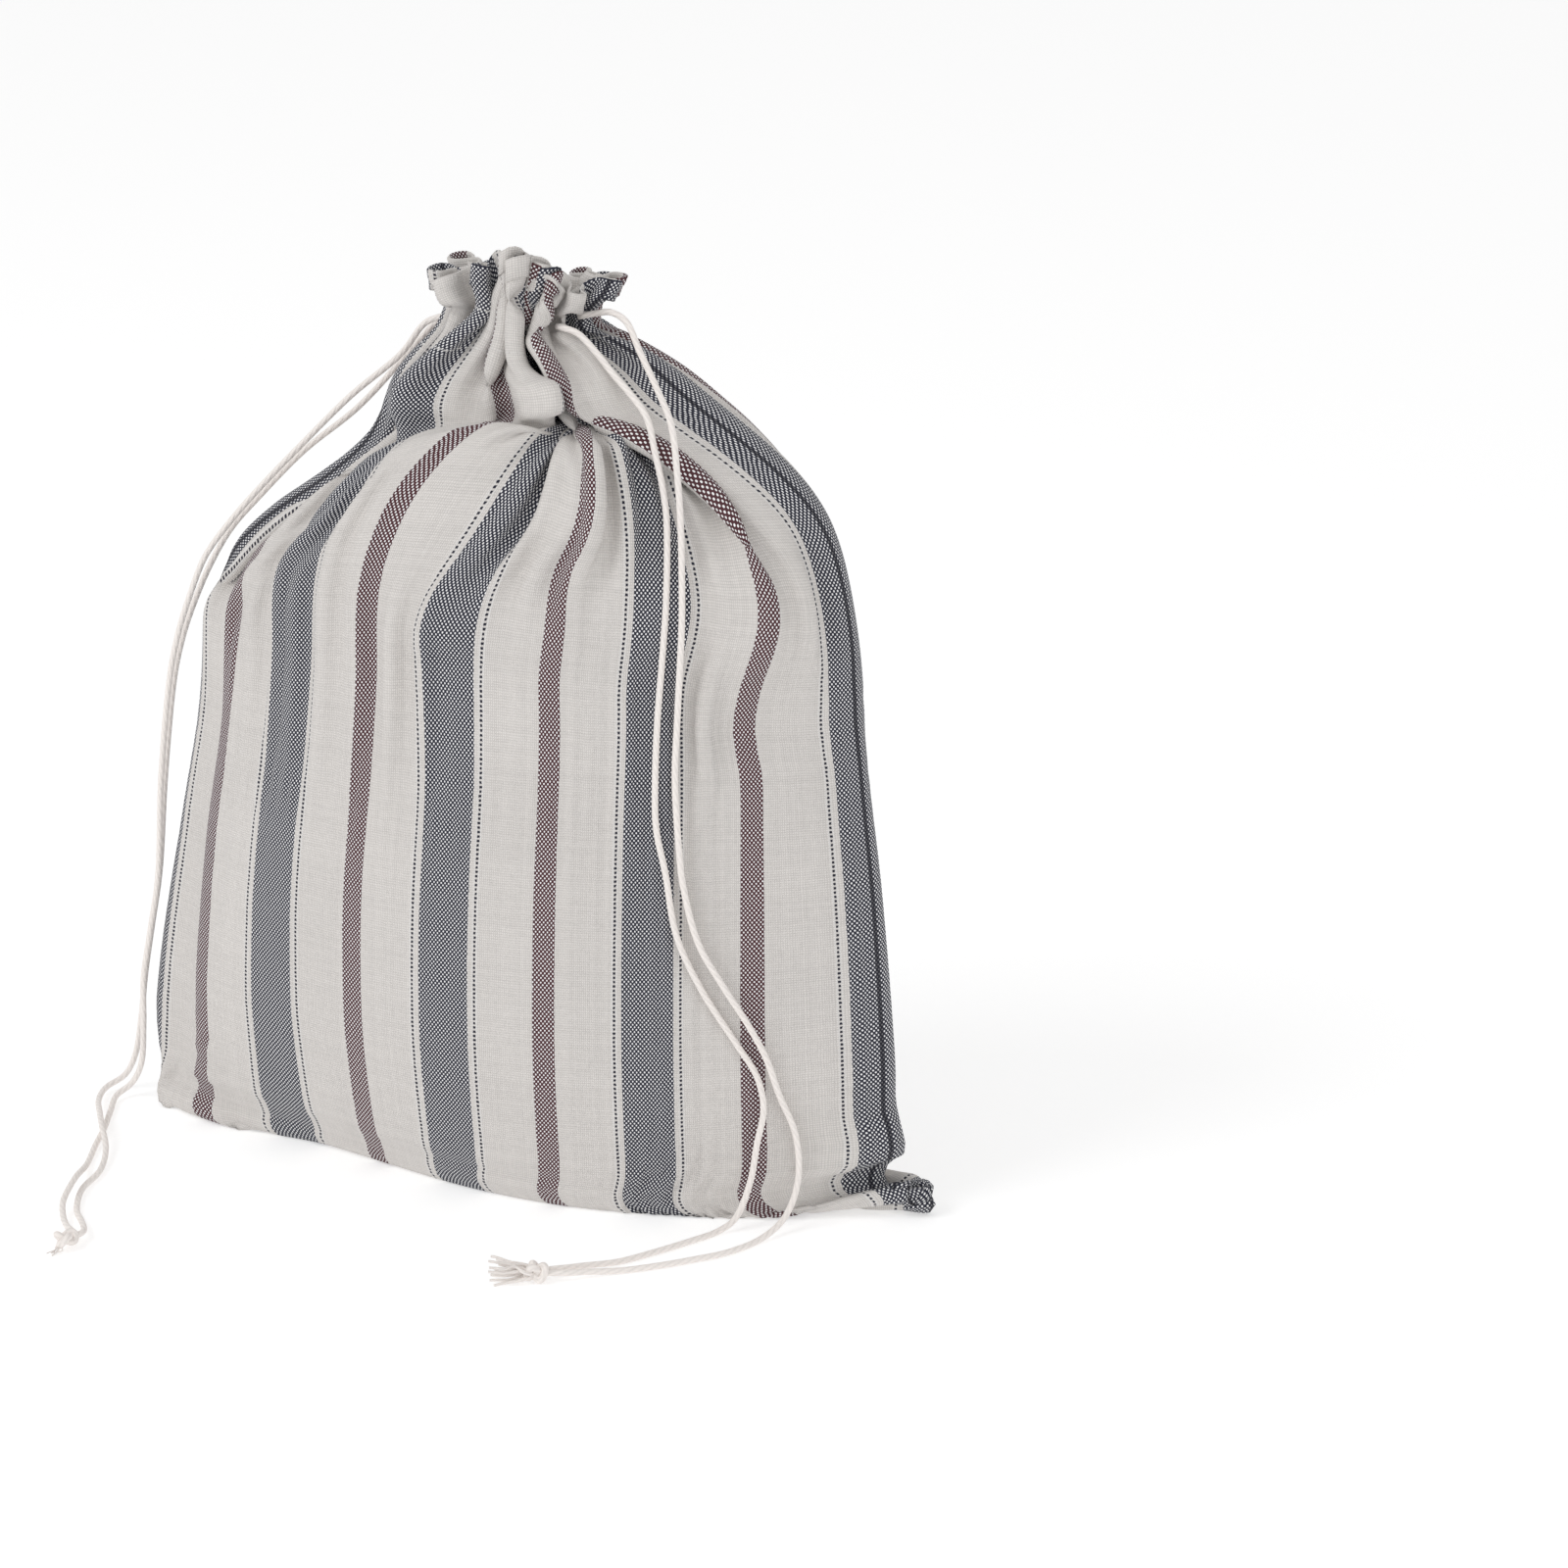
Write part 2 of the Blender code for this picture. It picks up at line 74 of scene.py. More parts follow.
# One row for each level section of the cloth, from the bottom seam to the hem. cloth:
# its height on the flat cloth. left, right, front, back: how far it reaches; z_...: its
# height there; point: 1 for an ellipse, more for a lens with sharper ends; gather: share
# of the way to the pleats' places; pleat: how deep the grooves go; twist: cloth turned round.
Section = namedtuple(
    "Section", "name cloth left right front back z_left z_right z_front z_back point gather pleat twist")
SECTIONS = [
    Section("seam", 0, 143.0, 152.0, 0.0, 0.0, 2.5, 4.0, 0.0, 0.0, 1.0, 0.0, 0.0, 0.0),
    Section("under", 20, 143.0, 151.0, 19.5, 19.5, 5.0, 8.0, 0.0, 0.0, 1.5, 0.0, 0.0, 4.0),
    Section("edge", 38, 142.5, 146.0, 39.0, 39.0, 8.0, 11.0, 0.0, 0.0, 1.7, 0.0, 0.0, 9.0),
    Section("heel", 45, 142.0, 138.0, 42.5, 42.5, 11.0, 13.0, 3.5, 3.5, 1.7, 0.0, 0.0, 11.0),
    Section("low", 57, 141.0, 141.0, 46.0, 46.0, 20.0, 20.0, 14.0, 14.0, 1.7, 0.0, 0.0, 12.0),
    Section("belly", 100, 138.0, 138.5, 51.5, 51.5, 60.0, 60.0, 57.0, 57.0, 1.7, 0.0, 0.0, 12.0),
    Section("middle", 155, 131.0, 133.0, 53.5, 53.5, 113.0, 113.0, 113.0, 113.0, 1.65, 0.0, 0.0, 11.0),
    Section("upper", 205, 123.0, 126.0, 52.0, 52.0, 160.0, 162.0, 163.0, 163.0, 1.6, 0.0, 0.5, 9.0),
    Section("corner", 250, 117.0, 122.0, 49.5, 49.5, 207.0, 203.0, 213.0, 213.0, 1.5, 0.02, 1.2, 8.0),
    Section("turn", 285, 101.0, 113.0, 47.0, 46.0, 232.0, 243.0, 250.0, 246.0, 1.4, 0.10, 2.2, 6.0),
    Section("crest", 312, 77.0, 93.0, 40.0, 40.0, 249.0, 271.0, 278.0, 272.0, 1.3, 0.30, 4.0, 3.0),
    Section("saddle", 330, 57.0, 71.0, 31.0, 33.0, 266.0, 289.0, 277.0, 283.0, 1.2, 0.60, 6.5, 2.0),
    Section("skirt", 350, 48.0, 50.0, 27.0, 28.0, 285.0, 301.0, 289.0, 293.0, 1.1, 0.85, 9.0, 0.0),
    Section("waist", 372, 25.0, 25.0, 22.0, 22.0, 307.0, 309.0, 310.0, 306.0, 1.0, 1.0, 15.0, 0.0),
    Section("flare", 382, 25.0, 26.0, 20.0, 20.0, 313.0, 315.0, 319.0, 312.0, 1.0, 1.0, 14.0, 0.0),
    Section("hem", 397, 29.0, 32.0, 19.0, 18.0, 321.0, 322.0, 331.0, 319.0, 1.0, 1.0, 11.0, 0.0),
]
LEVEL = {section.name: index for index, section in enumerate(SECTIONS)}

# By height on the flat cloth: how close the mesh's rows lie, more being closer, and how
# firmly each round of settling holds the cloth where it was.
ROW_CROWDING = {0: 1.0, 30: 1.6, 60: 0.8, 240: 0.8, 290: 1.9, 397: 2.2}
HOLD = {0: 0.3, 40: 0.1, 80: 0.05, 330: 0.05, 366: 0.04, 372: 0.05, 397: 0.02}
# reach: mesh lines from one end of a link to the other; pull, push: how hard it draws its
# ends together when it is too long and drives them apart when it is too short.
Link = namedtuple("Link", "reach pull push")
THREAD_LINKS = [Link(1, 1.0, 0.5), Link(2, 0.0, 0.35), Link(4, 0.0, 0.25)]
DIAGONAL_LINK = Link(1, 0.25, 0.25)
# How the edge turns in at the mouth. inward, up: from the hem; cloth: length used up.
Turn = namedtuple("Turn", "inward up cloth")
HEM_TURNS = [Turn(0.35, 0.45, 0.0), Turn(0.9, 0.3, 0.5), Turn(1.1, -0.6, 1.5), Turn(1.1, -3.0, 4.0),
             Turn(1.1, -7.0, 8.0)]

# One row for each pleat of the gathered mouth. cloth: its place round the girth, from
# the left seam; angle, hem_angle: its direction below the waist and at the hem, 180 left,
# 270 front, 360 right; proud: how far it stands out past its section; flare, rise: how
# far it leans out and stands up at the hem.
FULL_PLEAT_STEP = 21.0         # degrees between two pleats at the waist
Pleat = namedtuple("Pleat", "cloth angle hem_angle proud flare rise")
PLEATS = [
    Pleat(8, 190, 190, 0.0, 0.0, 1.0),
    Pleat(44, 213, 216, -1.0, 4.0, -4.0),
    Pleat(75, 236, 251, 1.5, 0.0, -2.0),
    Pleat(93, 252, 266, -0.5, 0.0, 1.0),
    Pleat(104, 267, 271, 0.0, -1.0, 2.0),
    Pleat(128, 283, 280, 1.5, 0.0, 1.0),
    Pleat(208, 296, 296, -5.0, 3.0, -1.0),
    Pleat(262, 306, 307, 0.5, 3.0, -4.0),
    Pleat(280, 325, 322, 0.5, 1.0, -5.0),
    Pleat(302, 352, 350, 1.0, 3.0, 0.0),
    Pleat(340, 375, 375, 0.0, 0.0, 0.0),
    Pleat(375, 397, 397, -0.5, 2.0, -2.0),
    Pleat(410, 419, 419, 0.5, -1.0, 0.0),
    Pleat(447, 441, 441, 0.0, 0.0, -2.0),
    Pleat(484, 463, 463, 0.0, -1.0, 0.0),
    Pleat(520, 485, 485, -0.5, 1.0, 0.0),
    Pleat(562, 515, 515, 0.0, 0.0, 3.0),
]

# One row for each long fold. cloth_low, cloth_high: its place round the girth at its two
# ends; from_, to: the levels it runs between; out, lift: how far it stands out and up
# (less than 0 for a valley); slide: cloth drawn sideways into it.
Fold = namedtuple("Fold", "name cloth_low cloth_high from_ to out lift slide wide_left wide_right")
FOLDS = [
    Fold("neck_valley", 150, 150, 8.2, 11.8, -7.0, 0.0, 22.0, 30, 20),
    Fold("left_pillow", 105, 110, 8.0, 11.8, 5.0, 3.0, 0.0, 30, 22),
    Fold("pillow_sweep", 120, 120, 9.3, 11.9, 0.0, 0.0, 13.0, 22, 22),
    Fold("belly_left", 100, 100, 0.5, 7.2, 0.0, 0.0, 3.0, 45, 45),
    Fold("belly_right", 262, 262, 0.5, 8.2, 0.0, 0.0, -5.0, 32, 26),
    Fold("right_sweep", 270, 266, 9.2, 12.6, 0.0, 0.0, -32.0, 30, 34),
    Fold("left_sweep", 2, 2, 7.2, 11.8, 0.0, 0.0, 9.0, 22, 26),
    Fold("right_edge", 306, 306, 1.0, 9.0, 0.0, 0.0, 8.0, 26, 40),
    Fold("left_edge", 4, 4, 3.3, 6.8, 0.0, 0.0, 6.0, 30, 26),
    Fold("middle_ridge", 190, 186, 7.6, 12.4, 5.0, 0.0, 8.0, 16, 16),
    Fold("right_valley", 236, 232, 6.8, 11.8, -5.0, 0.0, 3.0, 18, 12),
    Fold("right_ridge", 262, 262, 7.2, 12.6, 6.0, 3.0, 3.0, 10, 22),
    Fold("left_groove", 30, 35, 8.3, 12.0, -8.0, 0.0, 0.0, 14, 18),
    Fold("back_left_ridge", 545, 540, 7.6, 12.4, 5.0, 1.0, 0.0, 18, 18),
    Fold("back_valley", 455, 455, 7.4, 12.0, -6.0, 0.0, 6.0, 20, 26),
    Fold("back_ridge", 410, 415, 7.4, 12.4, 5.0, 2.0, 0.0, 18, 20),
    Fold("back_right_valley", 355, 362, 7.8, 12.0, -6.0, 0.0, 0.0, 14, 16),
]

# One row for each short dent or swelling. cloth, level: its middle; out, lift: how far
# it moves the cloth; wide, tall: its half size round the girth and up the levels;
# lean: cloth it moves round the girth for each level up.
Dent = namedtuple("Dent", "name cloth level out lift wide tall lean")
DENTS = [
    Dent("neck_hole", 160, 12.15, -7.0, 0.0, 14, 0.45, 10),
]

# Where hands have pushed the cloth out of its even folds. cloth: the move's place round
# the girth; left, right: how wide it is. Its rows run up the cloth and fade to nothing at
# the first and last: each has its height on the flat cloth, how far the cloth moves in x,
# y and z, and the row's own cloth, left and right where they aren't the move's.
Move = namedtuple("Move", "cloth left right rows")
MOVES = {
    # the left seam lies folded over the front like a lapel
    "left_lapel": Move(9, 6, 4, [
        (243, 0, 0, 0), (254, 9, 1, -3), (285, 12, 1, -4), (312, 12, 1, -4), (326, 8, 0, -1),
        (345, 0, 0, 0)]),
    "left_seam": Move(-3, 24, 8, [
        (266, 0, 0, 0), (292, 3, 0, 0), (322, 3, 0, 0), (340, 0, 0, 0)]),
    "under_lapel": Move(19, 5, 10, [
        (244, 0, 0, 0), (256, 5, 10, -2), (312, 5, 11, -3, 19, 5, 11), (326, 4, 8, -1), (345, 0, 0, 0)]),
    # low down, the left side runs back to the seam and the front edge tucks under
    "left_end": Move(-4, 30, 16, [
        (12, 0, 0, 0, -12, 30, 14), (38, 2, 7, 0, -12, 30, 14), (57, -10, 7, 0, -6, 30, 14),
        (80, -13, 6, 0), (100, -11, 6, 0), (150, -7, 5, 0), (205, -6, 4, 0), (245, 0, 0, 0)]),
    "left_side": Move(20, 10, 10, [
        (10, 0, 0, 0, 20, 10, 12), (30, -5, 6, -2, 20, 10, 12), (45, -5, 7, -4, 20, 10, 12),
        (57, -1, 6, 0, 20, 10, 12), (80, 3, 5, 0), (100, 3, 4, 0), (150, 4, 4, 0), (205, 4, 4, 0),
        (245, 0, 0, 0)]),
    "left_corner": Move(0, 20, 20, [
        (-14, 0, 0, 0), (0, 12, 3, 3), (10, 12, 4, 6), (19, 11, 6, 7), (30, 6, 4, 3),
        (38, 0, 1, -5, 0, 20, 18), (45, 0, 1, -4, 0, 20, 18), (57, 0, 0, 0, 0, 20, 18)]),
    "front_edge": Move(85, 60, 75, [
        (1, 0, 0, 0), (10, 1, 2, 9), (19, 2, 7, 17), (30, 2, 15, 7, 85, 55, 75),
        (38, 2, 19, 0, 85, 50, 75), (47, 2, 19, 0, 85, 48, 75), (60, 0, 12, 0, 85, 45, 75),
        (100, 0, 3, 0, 85, 45, 75), (140, 0, 0, 0, 85, 45, 75)]),
    # where the full lower part of the bag ends, each stripe turns in a knee of its own
    "knee_navy_left": Move(75, 18, 18, [
        (235, 0, 0, 0), (248, -2, 0, 0), (262, -4, 0, 0), (272, -4, 0, 0), (290, 0, 0, 0)]),
    "knee_burgundy_left": Move(112, 18, 16, [
        (230, 0, 0, 0), (248, -3, 0, 0), (268, -6, 0, 0), (288, -7, 0, 0), (306, 0, 0, 0)]),
    "knee_navy_middle": Move(148, 16, 14, [
        (200, 0, 0, 0), (225, -3, 0, 0), (245, -7, -1, 0, 147, 16, 14), (255, -6, -4, 0, 145, 16, 14),
        (272, 0, 0, 0)]),
    "knee_burgundy_middle": Move(187, 14, 14, [
        (222, 0, 0, 0), (236, -3, 0, 0), (250, 1, -2, 0), (262, -4, 0, 0), (272, -4, 1, 0),
        (279, 3, -2, 0), (290, 4, -2, 0), (305, 0, 0, 0)]),
    "knee_navy_right": Move(236, 12, 14, [
        (222, 0, 0, 0, 226, 14, 16), (236, -2, 0, 0, 228, 14, 16), (250, 2, 0, 0, 234, 12, 14),
        (264, 6, -2, 0), (285, 0, 0, 0)]),
    "knee_burgundy_right": Move(262, 18, 20, [
        (205, 0, 0, 0), (222, -5, 0, 0), (238, -2, 0, 0), (258, 9, -1, 0), (272, 7, 0, 0, 264, 18, 22),
        (286, 2, 1, 0, 267, 18, 24), (302, -1, 2, 0, 270, 18, 26), (322, 0, 0, 0, 270, 18, 26)]),
    # the navy stripe at the neck's left edge
    "neck_left": Move(69, 10, 14, [
        (318, 0, 0, 0, 72, 12, 14), (330, -6, 0, 0, 71, 11, 14), (342, -14, -4, 0), (352, -14, -4, 0),
        (364, -7, -2, 0, 70, 10, 12), (376, 0, 0, 0, 72, 12, 12)]),
    "behind_neck_left": Move(25, 30, 24, [
        (312, 0, 0, 0), (335, 7, 5, 0), (350, 4, 4, 0), (366, 0, 0, 0)]),
    # the narrow grooves between the neck's ridges
    "first_groove": Move(98, 4, 4, [
        (334, 0, 0, 0), (342, 1, 5, 0), (358, 1, 6, 0), (372, 0, 3, 0), (380, 0, 0, 0)]),
    "second_ridge": Move(105, 4, 4, [
        (330, 0, 0, 0), (342, 3, -2, 0), (362, 3, -2, 0), (376, 0, 0, 0)]),
    "second_groove": Move(113, 5, 5, [
        (322, 0, 0, 0), (332, -5, 7, 0), (362, -5, 6, 0), (376, 0, 0, 0)]),
    "third_ridge": Move(122, 5, 6, [
        (322, 0, 0, 0), (332, -4, -3, 0), (350, -3, -3, 0), (362, 0, 0, 0)]),
    # the ledge that hangs over the pillow, the dark hole above it and the groove beside it
    "ledge": Move(138, 15, 8, [
        (330, 0, 0, 0, 136, 14, 9), (335, 6, -2, 1, 137, 14, 8), (340, 18, -14, 6), (347, 19, -12, 10),
        (352, 9, -6, 6, 136, 13, 8), (358, 0, 0, 0, 134, 12, 8)]),
    "hole": Move(172, 24, 34, [
        (338, 0, 0, 0, 172, 22, 30), (348, -1, 13, -2), (358, -1, 15, 0), (368, 0, 6, 0, 170, 24, 34),
        (376, 0, 0, 0, 170, 24, 34)]),
    "groove_under_ledge": Move(170, 18, 18, [
        (300, 0, 0, 0, 165, 14, 16), (314, 0, 6, -2, 165, 16, 18), (330, 2, 9, -2, 167, 18, 18),
        (345, 0, 4, 0), (356, 0, 0, 0)]),
    # the right part of the front is pulled over the stripe beside it
    "right_lapel": Move(258, 7, 16, [
        (266, 0, 0, 0, 264, 6, 26), (285, -7, 0, -1, 267, 5, 14), (300, -12, 0, -2, 269, 5, 14),
        (318, -11, -1, -1, 269, 5, 16), (338, -1, -5, 2, 267, 5, 20), (345, 1, -6, 3, 262, 7, 18),
        (352, 0, -5, 2, 259, 7, 18), (366, -4, -3, 0), (378, 0, 0, 0)]),
    "under_right_lapel": Move(255, 15, 9, [
        (274, 0, 0, 0, 255, 14, 9), (288, 0, 9, 0), (320, 0, 12, 0), (334, 0, 7, 0, 254, 14, 8),
        (346, 0, 0, 0, 252, 14, 9)]),
    # nothing beyond the navy stripe shows at the right
    "right_edge": Move(322, 10, 36, [
        (60, 0, 0, 0), (120, -1, 2, 0), (235, -2, 3, 0), (270, -3, 4, 0, 324, 12, 40),
        (305, -3, 4, -2, 326, 14, 40), (328, -3, 3, -3, 328, 14, 40), (348, 0, 0, 0, 328, 14, 40)]),
    "right_shoulder": Move(335, 36, 60, [
        (305, 0, 0, 0), (330, -1, 0, -2), (350, -3, -1, -4, 335, 34, 50), (370, 0, 0, 0, 335, 32, 40)]),
}

# The creases that stay sharp, written as the moves are; they are pressed in after the
# cloth has settled.
CREASES = {
    "ledge": Move(134, 15, 8, [
        (334, 0, 0, 0), (339, 4, -6, 0, 137, 15, 8), (348, 5, -6, 2, 138, 15, 8),
        (351, 0, 0, 0, 136, 14, 8)]),
    "bend_navy_middle": Move(146, 15, 13, [
        (240, 0, 0, 0), (244, 0, -3, 0), (262, 0, 0, 0, 148, 15, 13)]),
    "bend_burgundy_right": Move(262, 12, 12, [
        (236, 0, 0, 0), (252, 0, -2, 0), (270, 0, 0, 0)]),
}

# ---------------------------------------------------------------- sizes of the cords
CORD_DIAMETER = 2.5
CORD_DRAWN = 0.9               # a hanging cord's width, as a share of its slack one
CORD_STEP = 2.0                # between two rings of its mesh
CORD_SIDES, KNOT_SIDES, TAIL_SIDES = 14, 12, 6
ROUTES = {
    "cord_left_front": [
        (-22.3, 3.2, 307), (-28, 5.5, 306.5), (-34, 8, 305), (-41, 11, 301), (-51, 14, 289),
        (-69, 12.5, 273.5), (-88, 10, 254), (-102, 8, 239), (-113, 6, 226), (-122, 4, 213),
        (-128, 3, 198), (-133, 3, 183), (-137, 3, 164), (-141, 3, 128), (-143, 3, 92), (-147, 3, 68),
        (-150, 3, 50), (-151, 4, 32), (-153, 6, 16), (-158, 8, 6), (-162, 2, 2.2), (-158, -12, 1.5),
        (-153, -28, 1.5), (-149, -44, 1.5), (-144, -62, 1.5), (-138, -84, 5.6), (-134.5, -101, 4.4),
        (-130, -111, 3.0), (-124.5, -119.5, 3.2), (-120.3, -124.1, 3.4),
    ],
    "cord_left_back": [
        (-24.9, 12.4, 306), (-32, 15.5, 305), (-41, 20, 299), (-53, 21, 285.5), (-69, 19, 268),
        (-88, 16, 252), (-104, 13, 235), (-115, 11, 222), (-123, 10, 208), (-129, 9, 194),
        (-134, 9, 180), (-138, 9, 162), (-142, 9, 128), (-145, 9, 92), (-149, 9, 68), (-152, 9, 50),
        (-155, 11, 32), (-159, 14, 16), (-164, 15, 6), (-169, 8, 2.4), (-165, -7, 3.4),
        (-157, -23, 5.2), (-150, -36, 5.6), (-142, -50, 3.0), (-137, -66, 1.5), (-135.5, -84, 1.5),
        (-129.5, -101, 1.5), (-123, -111, 2.0), (-118.4, -118.5, 2.8), (-116.8, -124.3, 3.4),
    ],
    "cord_right_outer": [
        (22.7, -6.7, 312), (29, -6.6, 313.5), (35, -8, 314.5), (42, -12, 312), (48, -17, 304),
        (56, -22.5, 293), (64, -31, 283), (67, -33.5, 268), (69, -35, 250), (70, -36, 229),
        (70.5, -37.5, 213), (70, -39.5, 184), (70, -41.5, 163), (72, -43, 141), (74, -43, 125),
        (79, -42, 106), (87, -39, 90.5), (95, -35, 76), (101, -32, 63), (105, -29, 49),
        (110, -25.5, 34), (111.5, -26, 18), (109, -32, 6), (104, -44, 1.5), (97, -59, 1.5),
        (88, -69, 1.5), (78, -78.5, 1.5), (67, -87, 1.5), (57, -94, 2.4), (52.3, -98, 3.0),
        (48.5, -100.6, 3.4),
    ],
    "cord_right_inner": [
        (18.2, -15.4, 310), (22, -17.4, 309.8), (27, -18.5, 308.5), (34, -20.5, 303), (41, -23, 296.5),
        (49, -27, 290.5), (55.5, -30.5, 284), (59, -32.5, 273), (62, -33.5, 262), (64, -34.5, 249),
        (64.5, -36, 224), (64, -38.5, 202), (63.5, -41, 184), (63.5, -43, 163), (64.5, -44.5, 146),
        (68, -44.5, 130), (71.8, -43.5, 108), (80, -40, 88), (91, -34.5, 68), (97.5, -31.5, 56),
        (100, -31, 44), (98, -31.5, 31), (96, -32, 17), (92.5, -36, 5), (88, -43, 1.5), (82, -54, 1.5),
        (73, -68, 1.5), (64, -80, 1.5), (55, -89, 2.4), (50.5, -94, 3.0), (46.5, -97.7, 3.4),
    ],
}
# size, depth: of the knot's turns, as shares of a loose one; tails: how many loose strands
# stand out of it, how long and how far fanned; stand: how high the uppermost ends.
Knot = namedtuple("Knot", "name place heading size depth tails tail_length tail_width fan stand")
KNOT_LOOPS = ((0.35, 1.0), (1.75, 0.92))  # each loop's lean, in radians, and relative size
KNOTS = [
    Knot("knot_left", (-119.5, -131.0, 3.9), -102.0, 1.08, 1.0, 5, 7.5, 0.7, 24.0, -3.0),
    Knot("knot_right", (42.5, -102.9, 3.9), 196.0, 0.92, 1.9, 12, 16.0, 1.5, 46.0, 3.5),
]


# ---------------------------------------------------------------- sizes of the stage
FLOOR_SIZE = 12.0              # this block is in metres and degrees
AIM_HEIGHT = 0.15              # that the lights and the camera look at
VIEW_AZIMUTH = 20.0
VIEW_ELEVATION = 17.0
VIEW_DISTANCE = 1.6
# power: as a share of the key light's
Lamp = namedtuple("Lamp", "name place size power")
LAMPS = [Lamp("key", (-1.3, -1.5, 1.9), 1.4, 1.0), Lamp("fill", (1.9, -1.1, 1.0), 1.6, 0.22)]


# ---------------------------------------------------------------- settings
def colour_setting(name, description, red, green, blue):
    return bpy.props.FloatVectorProperty(name=name, description=description, subtype="COLOR", size=4,
                                         min=0.0, max=1.0, default=(red, green, blue, 1.0))


def length_setting(name, description, metres):
    return bpy.props.FloatProperty(name=name, description=description, subtype="DISTANCE", unit="LENGTH",
                                   default=metres)


class BreadBagCloth(bpy.types.PropertyGroup):
    """Colours and weave of the striped linen."""
    cream: colour_setting("Cream", "Colour of the undyed threads", 0.672, 0.643, 0.618)
    navy: colour_setting("Navy", "Colour of the navy warp threads", 0.004, 0.006, 0.022)
    burgundy: colour_setting("Burgundy", "Colour of the burgundy warp threads", 0.055, 0.003, 0.008)
    stripe_period: length_setting("Stripe period", "Distance from one navy stripe to the next", 0.075)
    navy_width: length_setting("Navy width", "Width of a navy stripe", 0.019)
    burgundy_width: length_setting("Burgundy width", "Width of a burgundy stripe", 0.008)
    warp_pitch: length_setting("Warp pitch", "Distance between two threads that run up the bag", 0.000715)
    weft_pitch: length_setting("Weft pitch", "Distance between two threads that run round the bag", 0.00086)
    dot_pitch: length_setting("Dot pitch", "Distance between two dots of the dotted lines", 0.00155)


class BreadBagCords(bpy.types.PropertyGroup):
    """Colour of the cotton drawstrings."""
    cotton: colour_setting("Cotton", "Colour of the drawstrings", 0.86, 0.81, 0.775)


class BreadBagStage(bpy.types.PropertyGroup):
    """Light and floor."""
    floor_colour: colour_setting("Floor", "Colour of the floor", 0.70, 0.70, 0.70)
    key_power: bpy.props.FloatProperty(
        name="Key light", description="Power of the large key light",
        subtype="POWER", unit="POWER", default=19.0)
    sky_strength: bpy.props.FloatProperty(
        name="Ambient light", description="Strength of the even light from all round", default=0.68)
    floor_glow: bpy.props.FloatProperty(
        name="Floor glow", description="Light given off by the floor itself", default=0.46)


# ---------------------------------------------------------------- the cloth's form
def in_row_frame(points):
    """Table points, in millimetres, as points of the row's frame in metres."""
    return (np.asarray(points, float) + CENTRE_SHIFT) * MM


def smooth_step(x):
    x = np.clip(x, 0.0, 1.0)
    return x * x * (3.0 - 2.0 * x)


def read_column(name, levels):
    """One column of SECTIONS, read at any level from a smooth curve without overshoot."""
    values = np.array([getattr(section, name) for section in SECTIONS], float)
    steps = np.diff(values)
    before, after = steps[:-1], steps[1:]
    total = np.where(before * after > 0.0, before + after, 1.0)
    inner = np.where(before * after > 0.0, 2.0 * before * after / total, 0.0)
    tangents = np.concatenate([steps[:1], inner, steps[-1:]])
    low = np.clip(np.floor(levels).astype(int), 0, len(values) - 2)
    f = levels - low
    rise = f * f * (3.0 - 2.0 * f)
    return (values[low] * (1.0 - rise) + values[low + 1] * rise
            + tangents[low] * f * (1.0 - f) ** 2 - tangents[low + 1] * f * f * (1.0 - f))


def read_by_height(table, heights):
    return np.interp(heights, list(table), list(table.values()))


def pleat_table(cloth, values):
    """Reads one value per pleat at any place round the girth."""
    places = np.array([pleat.cloth for pleat in PLEATS])
    around = np.concatenate([places - GIRTH, places, places + GIRTH])
    return np.interp(cloth, around, values)


def groove_depth(cloth):
    """How deep the grooves go round the girth: 0 on a ridge, 1 between two pleats that
    stand a full step apart, less where they stand closer."""
    places = np.array([pleat.cloth for pleat in PLEATS], float)
    angles = np.array([pleat.angle for pleat in PLEATS], float)
    around = np.concatenate([places - GIRTH, places, places + GIRTH])
    turned = np.concatenate([angles - 360.0, angles, angles + 360.0])
    index = np.searchsorted(around, cloth, side="right") - 1
    f = (cloth - around[index]) / (around[index + 1] - around[index])
    room = np.minimum((turned[index + 1] - turned[index]) / FULL_PLEAT_STEP, 1.1)
    return (1.0 - np.abs(np.cos(math.pi * f)) ** 0.8) * room


def seam_thickness(from_seam):
    """Keeps the two panels apart next to a side seam, so that both walls have room."""
    return SEAM_HALF_THICKNESS * (1.0 - np.exp(-from_seam / 0.08)) * (1.0 - from_seam)


def section_outline(level, turn):
    """Points and outward directions on one level's outline; turn runs 0 to 1 from the
    left seam, by the front, the right seam and the back."""
    angle = np.linspace(0.0, 2.0 * math.pi, OUTLINE_SAMPLES + 1)
    at = {name: float(read_column(name, np.array([level]))[0]) for name in Section._fields[2:]}
    cosine, sine = np.cos(angle), np.sin(angle)
    x = -cosine * np.where(cosine > 0.0, at["left"], at["right"])
    y = -np.sign(sine) * (np.abs(sine) ** at["point"] * np.where(sine > 0.0, at["front"], at["back"])
                          + seam_thickness(np.abs(sine)))
    length = np.concatenate([[0.0], np.cumsum(np.hypot(np.diff(x), np.diff(y)))])
    half = OUTLINE_SAMPLES // 2
    share = np.concatenate([0.5 * length[:half + 1] / length[half],
                            0.5 + 0.5 * (length[half + 1:] - length[half]) / (length[-1] - length[half])])
    dx, dy = np.gradient(x), np.gradient(y)
    dx[0] = dx[-1] = x[1] - x[-2]
    dy[0] = dy[-1] = y[1] - y[-2]
    size = np.hypot(dx, dy) + 1e-9
    turn = np.mod(turn, 1.0)
    points = np.stack([np.interp(turn, share, x), np.interp(turn, share, y)], -1)
    outward = np.stack([np.interp(turn, share, dy / size), np.interp(turn, share, -dx / size)], -1)
    return points, outward


